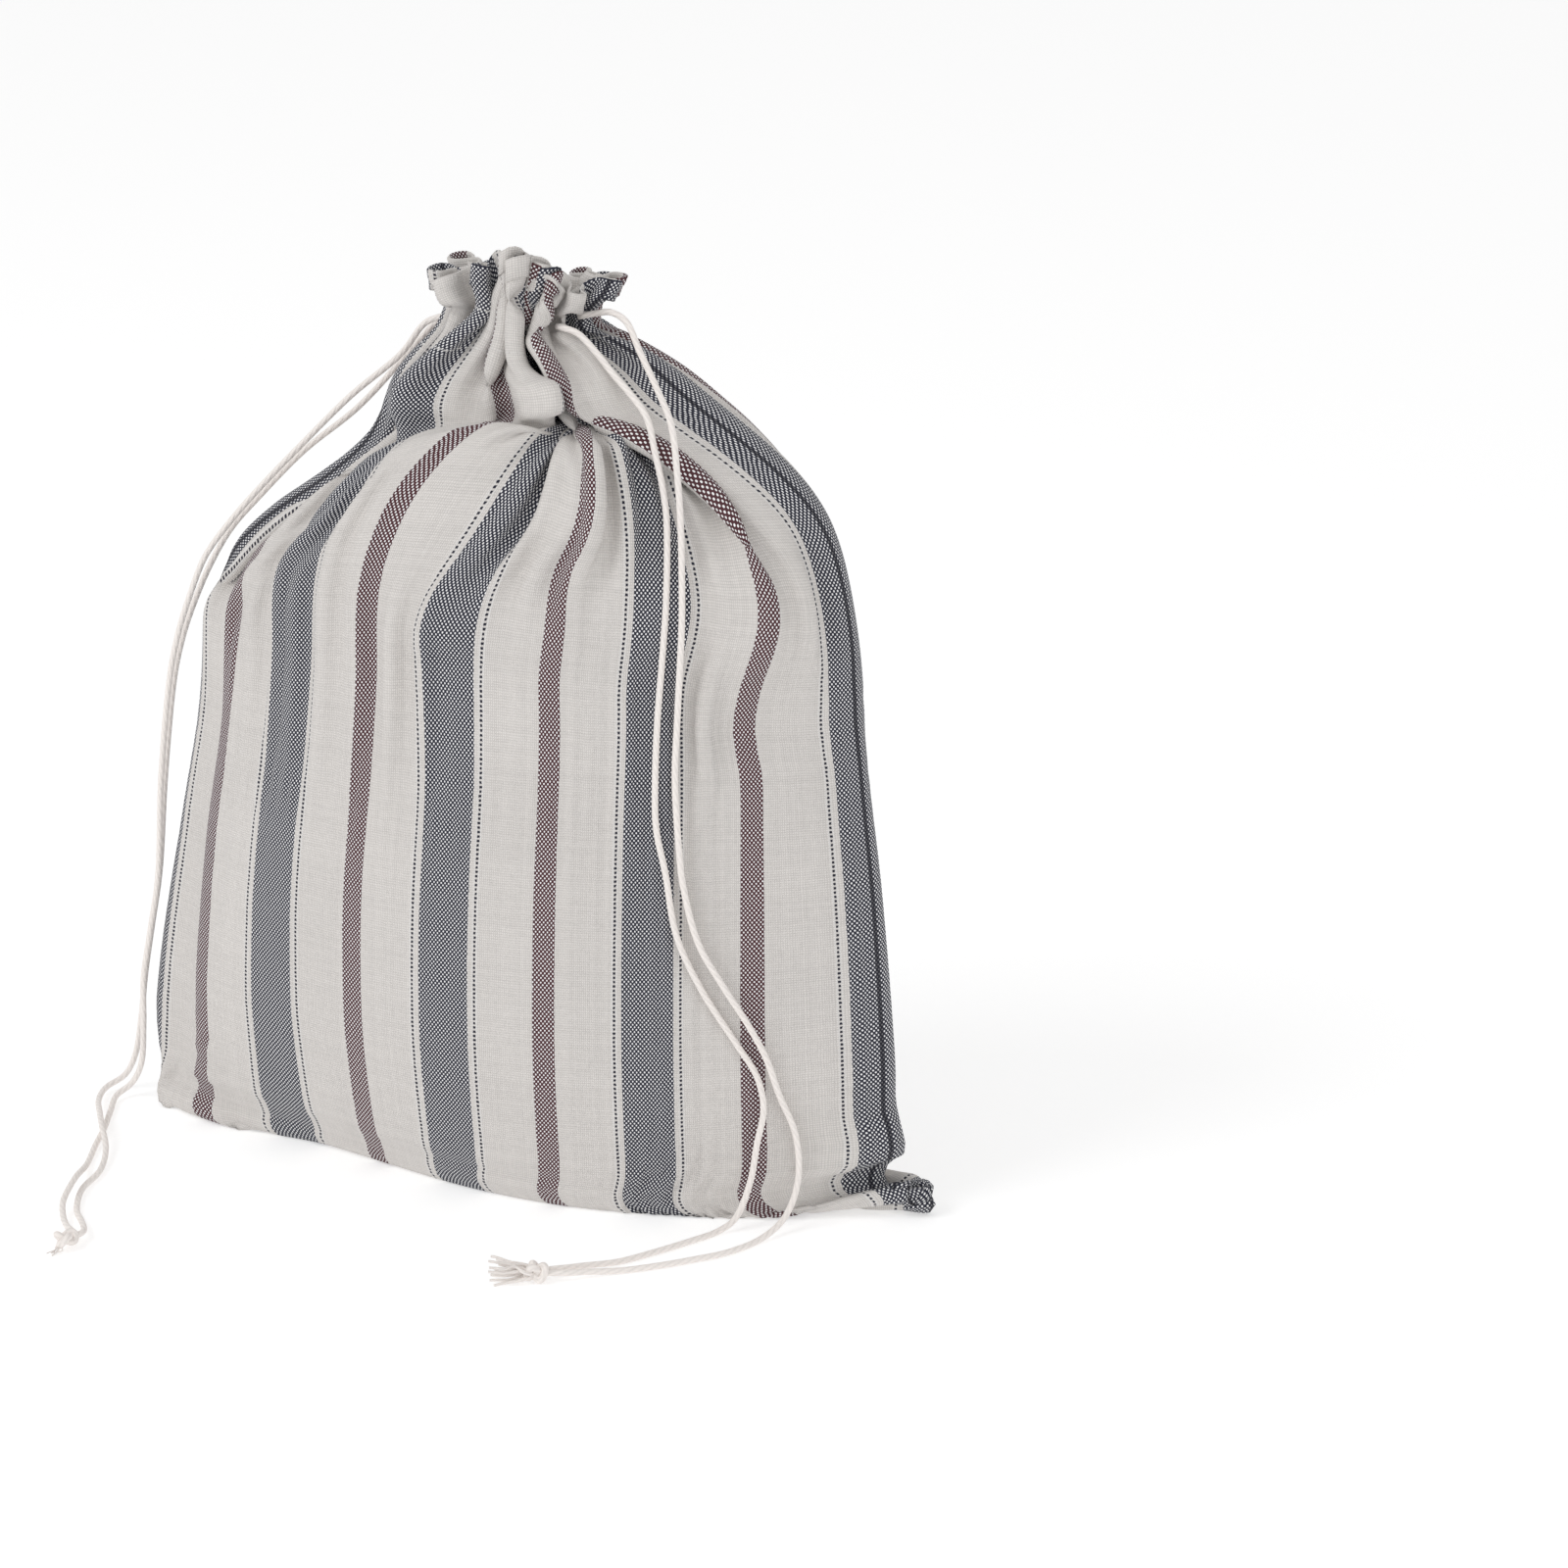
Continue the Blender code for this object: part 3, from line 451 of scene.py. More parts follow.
def cloth_points(cloth, levels):
    """The cloth's outer face, a grid of points in millimetres, one row for each level."""
    cloth_grid, level_grid = np.meshgrid(cloth, levels)
    out = np.zeros_like(cloth_grid)
    lift = np.zeros_like(cloth_grid)
    slide = np.zeros_like(cloth_grid)
    for fold in FOLDS:
        along = np.clip((level_grid - fold.from_) / (fold.to - fold.from_), 0.0, 1.0)
        middle = fold.cloth_low + (fold.cloth_high - fold.cloth_low) * along
        away = np.mod(cloth_grid - middle + PANEL_WIDTH, GIRTH) - PANEL_WIDTH
        width = np.where(away < 0.0, fold.wide_left, fold.wide_right)
        strength = np.exp(-(away / width) ** 2) * np.sin(math.pi * along) ** 1.2
        out += fold.out * strength
        lift += fold.lift * strength
        slide += fold.slide * strength
    for dent in DENTS:
        up = level_grid - dent.level
        away = np.mod(cloth_grid - dent.cloth - dent.lean * up + PANEL_WIDTH, GIRTH) - PANEL_WIDTH
        strength = np.exp(-(away / dent.wide) ** 2 - (up / dent.tall) ** 2)
        out += dent.out * strength
        lift += dent.lift * strength

    gather = read_column("gather", level_grid)
    at_waist = smooth_step((level_grid - LEVEL["skirt"]) / (LEVEL["waist"] + 0.3 - LEVEL["skirt"]))

    def pleat_angles(name):
        angles = np.array([getattr(pleat, name) for pleat in PLEATS], float)
        return pleat_table(cloth_grid, np.concatenate([angles - 360.0, angles, angles + 360.0]))

    angles = pleat_angles("angle") * (1.0 - at_waist) + pleat_angles("hem_angle") * at_waist
    pleated_turn = (angles - 180.0) / 360.0
    turn = (cloth_grid / GIRTH * (1.0 - gather) + pleated_turn * gather
            + (slide - read_column("twist", level_grid)) / GIRTH)

    def for_each_pleat(name):
        return pleat_table(cloth_grid, np.tile([getattr(pleat, name) for pleat in PLEATS], 3))

    at_hem = smooth_step((level_grid - LEVEL["waist"]) / (LEVEL["hem"] - LEVEL["waist"]))
    out -= read_column("pleat", level_grid) * groove_depth(cloth_grid)
    out += for_each_pleat("proud") * gather
    out += for_each_pleat("flare") * at_hem
    lift += for_each_pleat("rise") * at_hem

    # a section's height runs from its front and back up or down to its side seams;
    # low down only the sewn ends stand up from the floor, as ears
    to_side = np.cos(2.0 * math.pi * turn)
    to_front = np.sin(2.0 * math.pi * turn)
    reach = 2.0 + 14.0 * (1.0 - smooth_step(level_grid / LEVEL["belly"]))
    left = np.clip(to_side, 0.0, 1.0) ** reach
    right = np.clip(-to_side, 0.0, 1.0) ** reach
    front = smooth_step(0.5 + 0.5 * to_front)
    height = read_column("z_front", level_grid) * front + read_column("z_back", level_grid) * (1.0 - front)
    height = (height * (1.0 - left - right) + read_column("z_left", level_grid) * left
              + read_column("z_right", level_grid) * right)

    grid = np.zeros(cloth_grid.shape + (3,))
    for row, level in enumerate(levels):
        points, outward = section_outline(level, turn[row])
        grid[row, :, :2] = points + outward * out[row][:, None]
    grid[..., 2] = height + lift
    return grid


def spread_levels(count):
    """Levels for the grid's rows, closer where the neck folds most."""
    heights = np.array([section.cloth for section in SECTIONS], float)
    fine = np.linspace(0.0, CLOTH_HEIGHT, 2000)
    share = np.cumsum(read_by_height(ROW_CROWDING, fine))
    share = (share - share[0]) / (share[-1] - share[0])
    cloth_heights = np.interp(np.linspace(0.0, 1.0, count), share, fine)
    return np.interp(cloth_heights, heights, np.arange(len(heights))), cloth_heights


def push_cloth(grid, cloth, heights, moves):
    """Moves the grid of points, in millimetres, as a table such as MOVES says."""
    for move in moves.values():
        table = np.array([row[:4] + (row[4:] or move[:3]) for row in move.rows], float)
        x, y, z, middle, left, right = [np.interp(heights, table[:, 0], column) for column in table[:, 1:].T]
        away = np.mod(cloth[None] - middle[:, None] + PANEL_WIDTH, GIRTH) - PANEL_WIDTH
        width = np.where(away < 0.0, left[:, None], right[:, None])
        strength = np.exp(-(away / width) ** 2)
        grid += strength[..., None] * np.stack([x, y, z], -1)[:, None]


def settle(grid, heights, rounds):
    """Lets the cloth find its own small folds: its threads keep their lengths, it resists
    sharp bends, and a weak pull holds it near where it was."""
    rows, columns = grid.shape[:2]
    points = grid.reshape(-1, 3).copy()
    home = points.copy()
    index = np.arange(rows * columns).reshape(rows, columns)
    column = np.arange(columns)
    pitch = GIRTH / columns
    links = []

    def link(first, second, length, pull, push):
        links.append((first.ravel(), second.ravel(), np.broadcast_to(length, first.shape).reshape(-1, 1),
                      0.5 * pull, 0.5 * push))

    for reach, pull, push in THREAD_LINKS:
        for start in range(2):
            first = (column // reach) % 2 == start
            link(index[1:, first], index[1:, (column[first] + reach) % columns], reach * pitch, pull, push)
            rows_from = [row for row in range(rows - reach) if (row // reach) % 2 == start]
            rows_to = [row + reach for row in rows_from]
            length = (heights[rows_to] - heights[rows_from])[:, None]
            link(index[rows_from], index[rows_to], length, pull, push)
    for side in (1, -1):
        for start in range(2):
            rows_from = np.arange(start, rows - 1, 2)
            length = np.hypot(pitch, heights[rows_from + 1] - heights[rows_from])[:, None]
            across = index[rows_from + 1][:, (column + side) % columns]
            link(index[rows_from], across, length, DIAGONAL_LINK.pull, DIAGONAL_LINK.push)

    hold = np.repeat(read_by_height(HOLD, heights), columns)[:, None]
    pinned = index[0]
    for _ in range(rounds):
        points += hold * (home - points)
        for first, second, length, pull, push in links:
            along = points[second] - points[first]
            now = np.sqrt((along * along).sum(1, keepdims=True)) + 1e-9
            along *= (1.0 - length / now) * np.where(now > length, pull, push)
            points[first] += along
            points[second] -= along
        points[:, 2] = np.maximum(points[:, 2], FLOOR_GAP)
        points[pinned] = home[pinned]
    points = points.reshape(grid.shape)
    neck = smooth_step((heights[1:-1] - SMOOTH_FROM) / SMOOTH_FADE)[:, None, None]
    for _ in range(SMOOTHING_ROUNDS):
        points[1:-1] += 0.25 * neck * (points[2:] - 2.0 * points[1:-1] + points[:-2])
    return points


def make_cloth_mesh(name, columns, rows):
    """The cloth as one sheet, closed along the bottom seam, with its hem turned in. Its
    UV map holds metres on the flat cloth: round the girth and up from the bottom seam."""
    cloth = np.arange(columns) * GIRTH / columns
    levels, heights = spread_levels(rows)
    grid = cloth_points(cloth, levels)
    push_cloth(grid, cloth, heights, MOVES)
    grid = settle(grid, heights, SETTLING_ROUNDS)
    push_cloth(grid, cloth, heights, CREASES)
    grid = in_row_frame(grid)
    grid[0] = 0.5 * (grid[0] + np.roll(grid[0][::-1], 1, axis=0))
    hem = grid[-1]
    around = np.roll(hem, -1, axis=0) - np.roll(hem, 1, axis=0)
    up = grid[-1] - grid[-2]
    inward = np.cross(up, around)
    inward /= np.linalg.norm(inward, axis=1)[:, None] + 1e-12
    up /= np.linalg.norm(up, axis=1)[:, None] + 1e-12
    turned = [hem + (inward * turn.inward + up * turn.up) * MM for turn in HEM_TURNS]
    grid = np.concatenate([grid, np.array(turned)])
    heights = np.concatenate([heights, CLOTH_HEIGHT - np.array([turn.cloth for turn in HEM_TURNS])])

    half = columns // 2
    index = np.arange(grid.shape[0] * columns).reshape(grid.shape[0], columns)
    index[0] = np.concatenate([np.arange(half + 1), np.arange(half - 1, 0, -1)])
    points = grid.reshape(-1, 3)
    lower, upper = index[:-1], index[1:]
    faces = np.stack([lower, np.roll(lower, -1, 1), np.roll(upper, -1, 1), upper], -1).reshape(-1, 4)
    u = np.arange(columns + 1) * GIRTH / columns * MM
    v = heights * MM
    corner_u = np.stack([u[:-1], u[1:], u[1:], u[:-1]], -1)
    corner_v = np.stack([v[:-1], v[:-1], v[1:], v[1:]], -1)
    uv = np.zeros((len(v) - 1, columns, 4, 2))
    uv[..., 0] = corner_u[None]
    uv[..., 1] = corner_v[:, None]
    mesh = bpy.data.meshes.new(name)
    mesh.from_pydata(points.tolist(), [], faces.tolist())
    layer = mesh.uv_layers.new(name="cloth")
    layer.data.foreach_set("uv", uv.reshape(-1))
    mesh.validate()
    bm = bmesh.new()
    bm.from_mesh(mesh)
    bmesh.ops.delete(bm, geom=[v for v in bm.verts if not v.link_faces], context="VERTS")
    bm.to_mesh(mesh)
    bm.free()
    mesh.shade_smooth()
    return mesh


def give_thickness(obj, thickness):
    """Backs the sheet with a second face on its inner side."""
    solidify = obj.modifiers.new("Solidify", "SOLIDIFY")
    solidify.thickness = thickness
    solidify.offset = -1.0


# ---------------------------------------------------------------- Blender helpers
def settings():
    scene = bpy.context.scene
    return scene.bread_bag_cloth, scene.bread_bag_cords, scene.bread_bag_stage


def add_object(name, data):
    obj = bpy.data.objects.new(name, data)
    bpy.context.scene.collection.objects.link(obj)
    return obj


class NodeBench:
    """Adds and joins shader nodes with few words."""

    def __init__(self, tree):
        self.tree = tree

    def add(self, kind, **values):
        node = self.tree.nodes.new(kind)
        for name, value in values.items():
            setattr(node, name, value)
        return node

    def link(self, value, socket):
        if isinstance(value, bpy.types.NodeSocket):
            self.tree.links.new(value, socket)
        else:
            socket.default_value = value

    def math(self, operation, *values, clamp=False):
        node = self.add("ShaderNodeMath", operation=operation, use_clamp=clamp)
        for value, socket in zip(values, node.inputs):
            self.link(value, socket)
        return node.outputs[0]

    def times(self, first, second):
        return self.math("MULTIPLY", first, second)

    def plus(self, first, second):
        return self.math("ADD", first, second)

    def spread(self, value, low, high, start=0.0, end=1.0, kind="LINEAR"):
        """Runs from start, where the value is low, to end, where it is high."""
        node = self.add("ShaderNodeMapRange", interpolation_type=kind)
        for number, socket in zip((value, low, high, start, end), node.inputs):
            self.link(number, socket)
        return node.outputs[0]

    def step(self, value, edge, soft, start=0.0, end=1.0):
        """start below the edge and end above it."""
        return self.spread(value, edge - soft, edge + soft, start, end, "SMOOTHSTEP")

    def band(self, value, low, high, soft):
        """1 where low < value < high, with edges as soft as given."""
        return self.times(self.step(value, low, soft), self.step(value, high, soft, 1.0, 0.0))

    def scale(self, vector, x, y):
        node = self.add("ShaderNodeVectorMath", operation="MULTIPLY")
        self.link(vector, node.inputs[0])
        node.inputs[1].default_value = (x, y, 1.0)
        return node.outputs[0]

    def split(self, vector):
        node = self.add("ShaderNodeSeparateXYZ")
        self.link(vector, node.inputs[0])
        return node.outputs["X"], node.outputs["Y"]

    def mix(self, share, first, second, blend="MIX"):
        node = self.add("ShaderNodeMix", data_type="RGBA", blend_type=blend)
        self.link(share, node.inputs[0])
        self.link(first, node.inputs[6])
        self.link(second, node.inputs[7])
        return node.outputs[2]

    def noise(self, vector, scale, detail=2.0, roughness=0.5):
        node = self.add("ShaderNodeTexNoise")
        self.link(vector, node.inputs["Vector"])
        self.link(scale, node.inputs["Scale"])
        self.link(detail, node.inputs["Detail"])
        self.link(roughness, node.inputs["Roughness"])
        return node.outputs["Fac"]


# ---------------------------------------------------------------- materials
def weave_group():
    """A plain weave read from a flat-cloth UV: which thread is on top, and how high."""
    group = bpy.data.node_groups.new("plain_weave", "ShaderNodeTree")
    for name, in_out, kind in (("UV", "INPUT", "Vector"), ("Warp Pitch", "INPUT", "Float"),
                               ("Weft Pitch", "INPUT", "Float"), ("Warp On Top", "OUTPUT", "Float"),
                               ("Thread Shade", "OUTPUT", "Float"), ("Height", "OUTPUT", "Float")):
        group.interface.new_socket(name, in_out=in_out, socket_type="NodeSocket" + kind)
    bench = NodeBench(group)
    source = bench.add("NodeGroupInput")
    result = bench.add("NodeGroupOutput")

    # threads wander a little, so that the weave is never a perfect grid
    wander = bench.add("ShaderNodeTexNoise")
    bench.link(source.outputs["UV"], wander.inputs["Vector"])
    wander.inputs["Scale"].default_value = 160.0
    wander.inputs["Detail"].default_value = 2.0
    moved = bench.add("ShaderNodeVectorMath", operation="MULTIPLY_ADD")
    bench.link(wander.outputs["Color"], moved.inputs[0])
    moved.inputs[1].default_value = (0.0006, 0.0006, 0.0)
    bench.link(source.outputs["UV"], moved.inputs[2])
    x, y = bench.split(moved.outputs[0])
    across = bench.math("DIVIDE", x, source.outputs["Warp Pitch"])
    along = bench.math("DIVIDE", y, source.outputs["Weft Pitch"])
    wave_across = bench.math("SINE", bench.times(across, math.pi))
    wave_along = bench.math("SINE", bench.times(along, math.pi))
    crossing = bench.times(wave_across, wave_along)
    bench.link(crossing, result.inputs["Warp On Top"])

    # every thread has its own tone, and thick slubs run along it here and there; the crowns of the threads
    # are lighter and the gaps between them darker, as painted shade
    warp_thread = bench.add("ShaderNodeTexWhiteNoise", noise_dimensions="1D")
    bench.link(bench.math("FLOOR", across), warp_thread.inputs["W"])
    weft_thread = bench.add("ShaderNodeTexWhiteNoise", noise_dimensions="1D")
    bench.link(bench.plus(bench.math("FLOOR", along), 0.37), weft_thread.inputs["W"])
    warp_slub = bench.noise(bench.scale(source.outputs["UV"], 1400.0, 260.0), 1.0, 1.0)
    weft_slub = bench.noise(bench.scale(source.outputs["UV"], 260.0, 1200.0), 1.0, 1.0)
    shade = bench.plus(bench.times(warp_thread.outputs["Value"], 0.14),
                       bench.times(weft_thread.outputs["Value"], 0.14))
    shade = bench.plus(shade, bench.times(warp_slub, 0.35))
    shade = bench.plus(shade, bench.times(weft_slub, 0.35))
    # painted shade: darker in the gaps between threads, lighter on their crowns
    shade = bench.plus(shade, bench.times(bench.math("ABSOLUTE", crossing), 0.9))
    bench.link(shade, result.inputs["Thread Shade"])
    height = bench.plus(bench.math("ABSOLUTE", crossing), bench.times(shade, 0.6))
    bench.link(height, result.inputs["Height"])
    return group


# places on the flat cloth, in metres: from the middle of a navy stripe, and from the
# bottom seam up
DOTTED_LINE = (0.0117, 0.0126)
PALE_EDGING = (0.0112, 0.0132)
CASING_STITCHES = ((0.3625, 0.3631), (0.3805, 0.3811))
SEAM_HALF_LINE = 0.0008
STITCH_PITCH = 0.0026
EDGING_COLOUR = (0.74, 0.73, 0.72, 1.0)
STRIPE_WEFT_COLOUR = (0.92, 0.92, 0.93, 1.0)
SEAM_THREAD_AND_SHADE_COLOUR = (0.012, 0.012, 0.02, 1.0)
STITCH_COLOUR = (0.72, 0.70, 0.68, 1.0)


def striped_linen():
    cloth = settings()[0]
    material = bpy.data.materials.new("striped_linen")
    material.use_nodes = True
    bench = NodeBench(material.node_tree)
    shader = material.node_tree.nodes["Principled BSDF"]
    uv = bench.add("ShaderNodeUVMap", uv_map="cloth").outputs[0]
    weave = bench.add("ShaderNodeGroup")
    weave.node_tree = weave_group()
    bench.link(uv, weave.inputs["UV"])
    weave.inputs["Warp Pitch"].default_value = cloth.warp_pitch
    weave.inputs["Weft Pitch"].default_value = cloth.weft_pitch
    round_girth, height = bench.split(uv)

    # stripes: distance from the middle of the nearest navy stripe, its edges a thread rough
    edge = bench.noise(uv, 900.0, 1.0)
    edge = bench.times(bench.math("SUBTRACT", edge, 0.5), 0.0007)
    off = bench.plus(bench.math("PINGPONG", round_girth, cloth.stripe_period / 2.0), edge)
    navy = bench.math("SUBTRACT", 1.0, bench.step(off, cloth.navy_width / 2.0, 0.00015))
    burgundy = bench.step(off, cloth.stripe_period / 2.0 - cloth.burgundy_width / 2.0, 0.00015)
    line = bench.band(off, *DOTTED_LINE, 0.00010)
    dash = bench.math("FRACT", bench.math("DIVIDE", height, cloth.dot_pitch))
    dots = bench.times(line, bench.band(dash, 0.1, 0.68, 0.08))
    pale = bench.math("SUBTRACT", bench.band(off, *PALE_EDGING, 0.0002), line, clamp=True)

    # dyed warp shows between the pale weft threads
    warp_shows = bench.step(weave.outputs["Warp On Top"], -0.36, 0.12)
    shade = weave.outputs["Thread Shade"]
    cloud = bench.spread(bench.noise(uv, 26.0, 3.0), 0.3, 0.7, 0.975, 1.02)
    # the cream's tone carries the threads' random tone and the painted shade in the gaps between them
    tone = bench.times(bench.spread(shade, 0.35, 1.35, 0.80, 1.12), cloud)
    cream = bench.mix(1.0, tuple(cloth.cream), tone, "MULTIPLY")
    cream = bench.mix(bench.times(pale, 0.6), cream, EDGING_COLOUR)
    dyed = bench.mix(burgundy, tuple(cloth.navy), tuple(cloth.burgundy))
    stripes = bench.math("MAXIMUM", navy, burgundy)
    worn = bench.times(bench.times(stripes, warp_shows), 0.97)
    weft = bench.mix(bench.times(stripes, 0.9), cream, STRIPE_WEFT_COLOUR)
    colour = bench.mix(worn, weft, dyed)
    colour = bench.mix(bench.times(dots, 0.98), colour, tuple(cloth.navy))

    # stitching: the side seams, whose dark line is partly the seam's own thread and partly painted shade in
    # the seam's crease, and the two rows that hold the casing
    near_seam = bench.math("PINGPONG", round_girth, PANEL_WIDTH * MM)
    from_right = bench.math("SUBTRACT", PANEL_WIDTH * MM, near_seam)
    seam = bench.step(bench.math("MINIMUM", near_seam, from_right), SEAM_HALF_LINE, 0.0003, 1.0, 0.0)
    casing = bench.math("MAXIMUM", *[bench.band(height, *row, 0.00015) for row in CASING_STITCHES])
    stitch = bench.math("FRACT", bench.math("DIVIDE", round_girth, STITCH_PITCH))
    stitch = bench.band(stitch, 0.15, 0.8, 0.06)
    # the side seams' dark line: the seam thread together with painted shade in its crease
    colour = bench.mix(bench.times(seam, 0.85), colour, SEAM_THREAD_AND_SHADE_COLOUR)
    stitch = bench.times(bench.times(casing, stitch), 0.7)
    colour = bench.mix(stitch, colour, STITCH_COLOUR)

    bump = bench.add("ShaderNodeBump")
    bump.inputs["Strength"].default_value = 0.45
    bump.inputs["Distance"].default_value = 0.00022
    grooves = bench.plus(bench.times(seam, -3.0), bench.times(casing, -1.5))
    bench.link(bench.plus(weave.outputs["Height"], grooves), bump.inputs["Height"])
    bench.link(colour, shader.inputs["Base Color"])
    bench.link(bump.outputs[0], shader.inputs["Normal"])
    shader.inputs["Roughness"].default_value = 0.92
    shader.inputs["Specular IOR Level"].default_value = 0.25
    shader.inputs["Sheen Weight"].default_value = 0.06
    shader.inputs["Sheen Roughness"].default_value = 0.5
    return material


def cotton_cord():
    cords = settings()[1]
    material = bpy.data.materials.new("cotton_cord")
    material.use_nodes = True
    bench = NodeBench(material.node_tree)
    shader = material.node_tree.nodes["Principled BSDF"]
    uv = bench.add("ShaderNodeUVMap", uv_map="cord").outputs[0]
    along, around = bench.split(uv)
    # plies wind round the cord, and fine fibres run along it; the colour is lighter on each ply's crown and
    # darker in the grooves between the plies, as painted shade
    ply = bench.math("FRACT", bench.plus(bench.times(around, 4.0),
                                         bench.math("DIVIDE", along, 0.0042)))
    ply_round = bench.math("SINE", bench.times(ply, math.pi))
    fibres = bench.noise(bench.scale(uv, 700.0, 9.0), 1.0, 3.0)
    # painted shade: darker in the grooves between plies, lighter on their crowns
    tone = bench.plus(bench.times(ply_round, 0.10), bench.times(fibres, 0.22))
    tone = bench.plus(tone, 0.84)
    colour = bench.mix(1.0, tuple(cords.cotton), tone, "MULTIPLY")
    bump = bench.add("ShaderNodeBump")
    bump.inputs["Strength"].default_value = 0.5
    bump.inputs["Distance"].default_value = 0.00025
    bench.link(bench.plus(ply_round, bench.times(fibres, 0.7)), bump.inputs["Height"])
    bench.link(colour, shader.inputs["Base Color"])
    bench.link(bump.outputs[0], shader.inputs["Normal"])
    shader.inputs["Roughness"].default_value = 0.88
    shader.inputs["Specular IOR Level"].default_value = 0.25
    shader.inputs["Sheen Weight"].default_value = 0.25
    return material


# ---------------------------------------------------------------- tubes
def smooth_route(route, step):
    """Even points on a smooth curve through the route's points."""
    knots = np.array(route, float)
    ends = np.vstack([2 * knots[0] - knots[1], knots, 2 * knots[-1] - knots[-2]])
    fine = []
    for i in range(len(knots) - 1):
        a, b, c, d = ends[i:i + 4]
        f = np.linspace(0.0, 1.0, 24, endpoint=False)[:, None]
        fine.append(0.5 * (2 * b + (c - a) * f + (2 * a - 5 * b + 4 * c - d) * f ** 2
                           + (3 * b - a - 3 * c + d) * f ** 3))
    fine = np.vstack(fine + [knots[-1:]])
    length = np.concatenate([[0.0], np.cumsum(np.linalg.norm(np.diff(fine, axis=0), axis=1))])
    count = max(2, round(length[-1] / step) + 1)
    even = np.linspace(0.0, length[-1], count)
    return np.stack([np.interp(even, length, fine[:, axis]) for axis in range(3)], -1)


def add_tube(bm, uv_layer, points, radii, sides):
    """A round tube through points in metres, closed at both ends, with a UV of length and turn."""
    points = np.asarray(points, float)
    tangents = np.gradient(points, axis=0)
    tangents /= np.linalg.norm(tangents, axis=1)[:, None]
    side = np.cross(tangents[0], (0.0, 0.0, 1.0))
    if np.linalg.norm(side) < 1e-3:
        side = np.cross(tangents[0], (0.0, 1.0, 0.0))
    side /= np.linalg.norm(side)
    lengths = np.concatenate([[0.0], np.cumsum(np.linalg.norm(np.diff(points, axis=0), axis=1))])
    rings = []
    for point, tangent, radius in zip(points, tangents, radii):
        side = side - tangent * np.dot(side, tangent)
        side /= np.linalg.norm(side)
        other = np.cross(tangent, side)
        rings.append([bm.verts.new(point + radius * (math.cos(a) * side + math.sin(a) * other))
                      for a in np.arange(sides) * 2.0 * math.pi / sides])
    for i in range(len(rings) - 1):
        for j in range(sides):
            k = (j + 1) % sides
            face = bm.faces.new((rings[i][j], rings[i][k], rings[i + 1][k], rings[i + 1][j]))
            face.smooth = True
            for loop, (row, turn) in zip(face.loops, ((i, j), (i, j + 1), (i + 1, j + 1), (i + 1, j))):
                loop[uv_layer].uv = (lengths[row], turn / sides)
    for ring, first in ((rings[0][::-1], True), (rings[-1], False)):
        centre = bm.verts.new(points[0 if first else -1])
        for j in range(sides):
            face = bm.faces.new((ring[j], ring[(j + 1) % sides], centre))
            face.smooth = True
            for loop in face.loops:
                loop[uv_layer].uv = (lengths[0 if first else -1], 0.0)


# ---------------------------------------------------------------- operators
class BREADBAG_OT_cloth(bpy.types.Operator):
    """Build the gathered bag of striped linen"""
    bl_idname = "breadbag.cloth"
    bl_label = "Bag cloth"

    def execute(self, context):
        bag = add_object("striped_bag", make_cloth_mesh("striped_bag", CLOTH_COLUMNS, CLOTH_ROWS))
        give_thickness(bag, CLOTH_THICKNESS * MM)
        bag.data.materials.append(striped_linen())
        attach(bag, "root")
        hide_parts("bag_cloth")
        return {"FINISHED"}


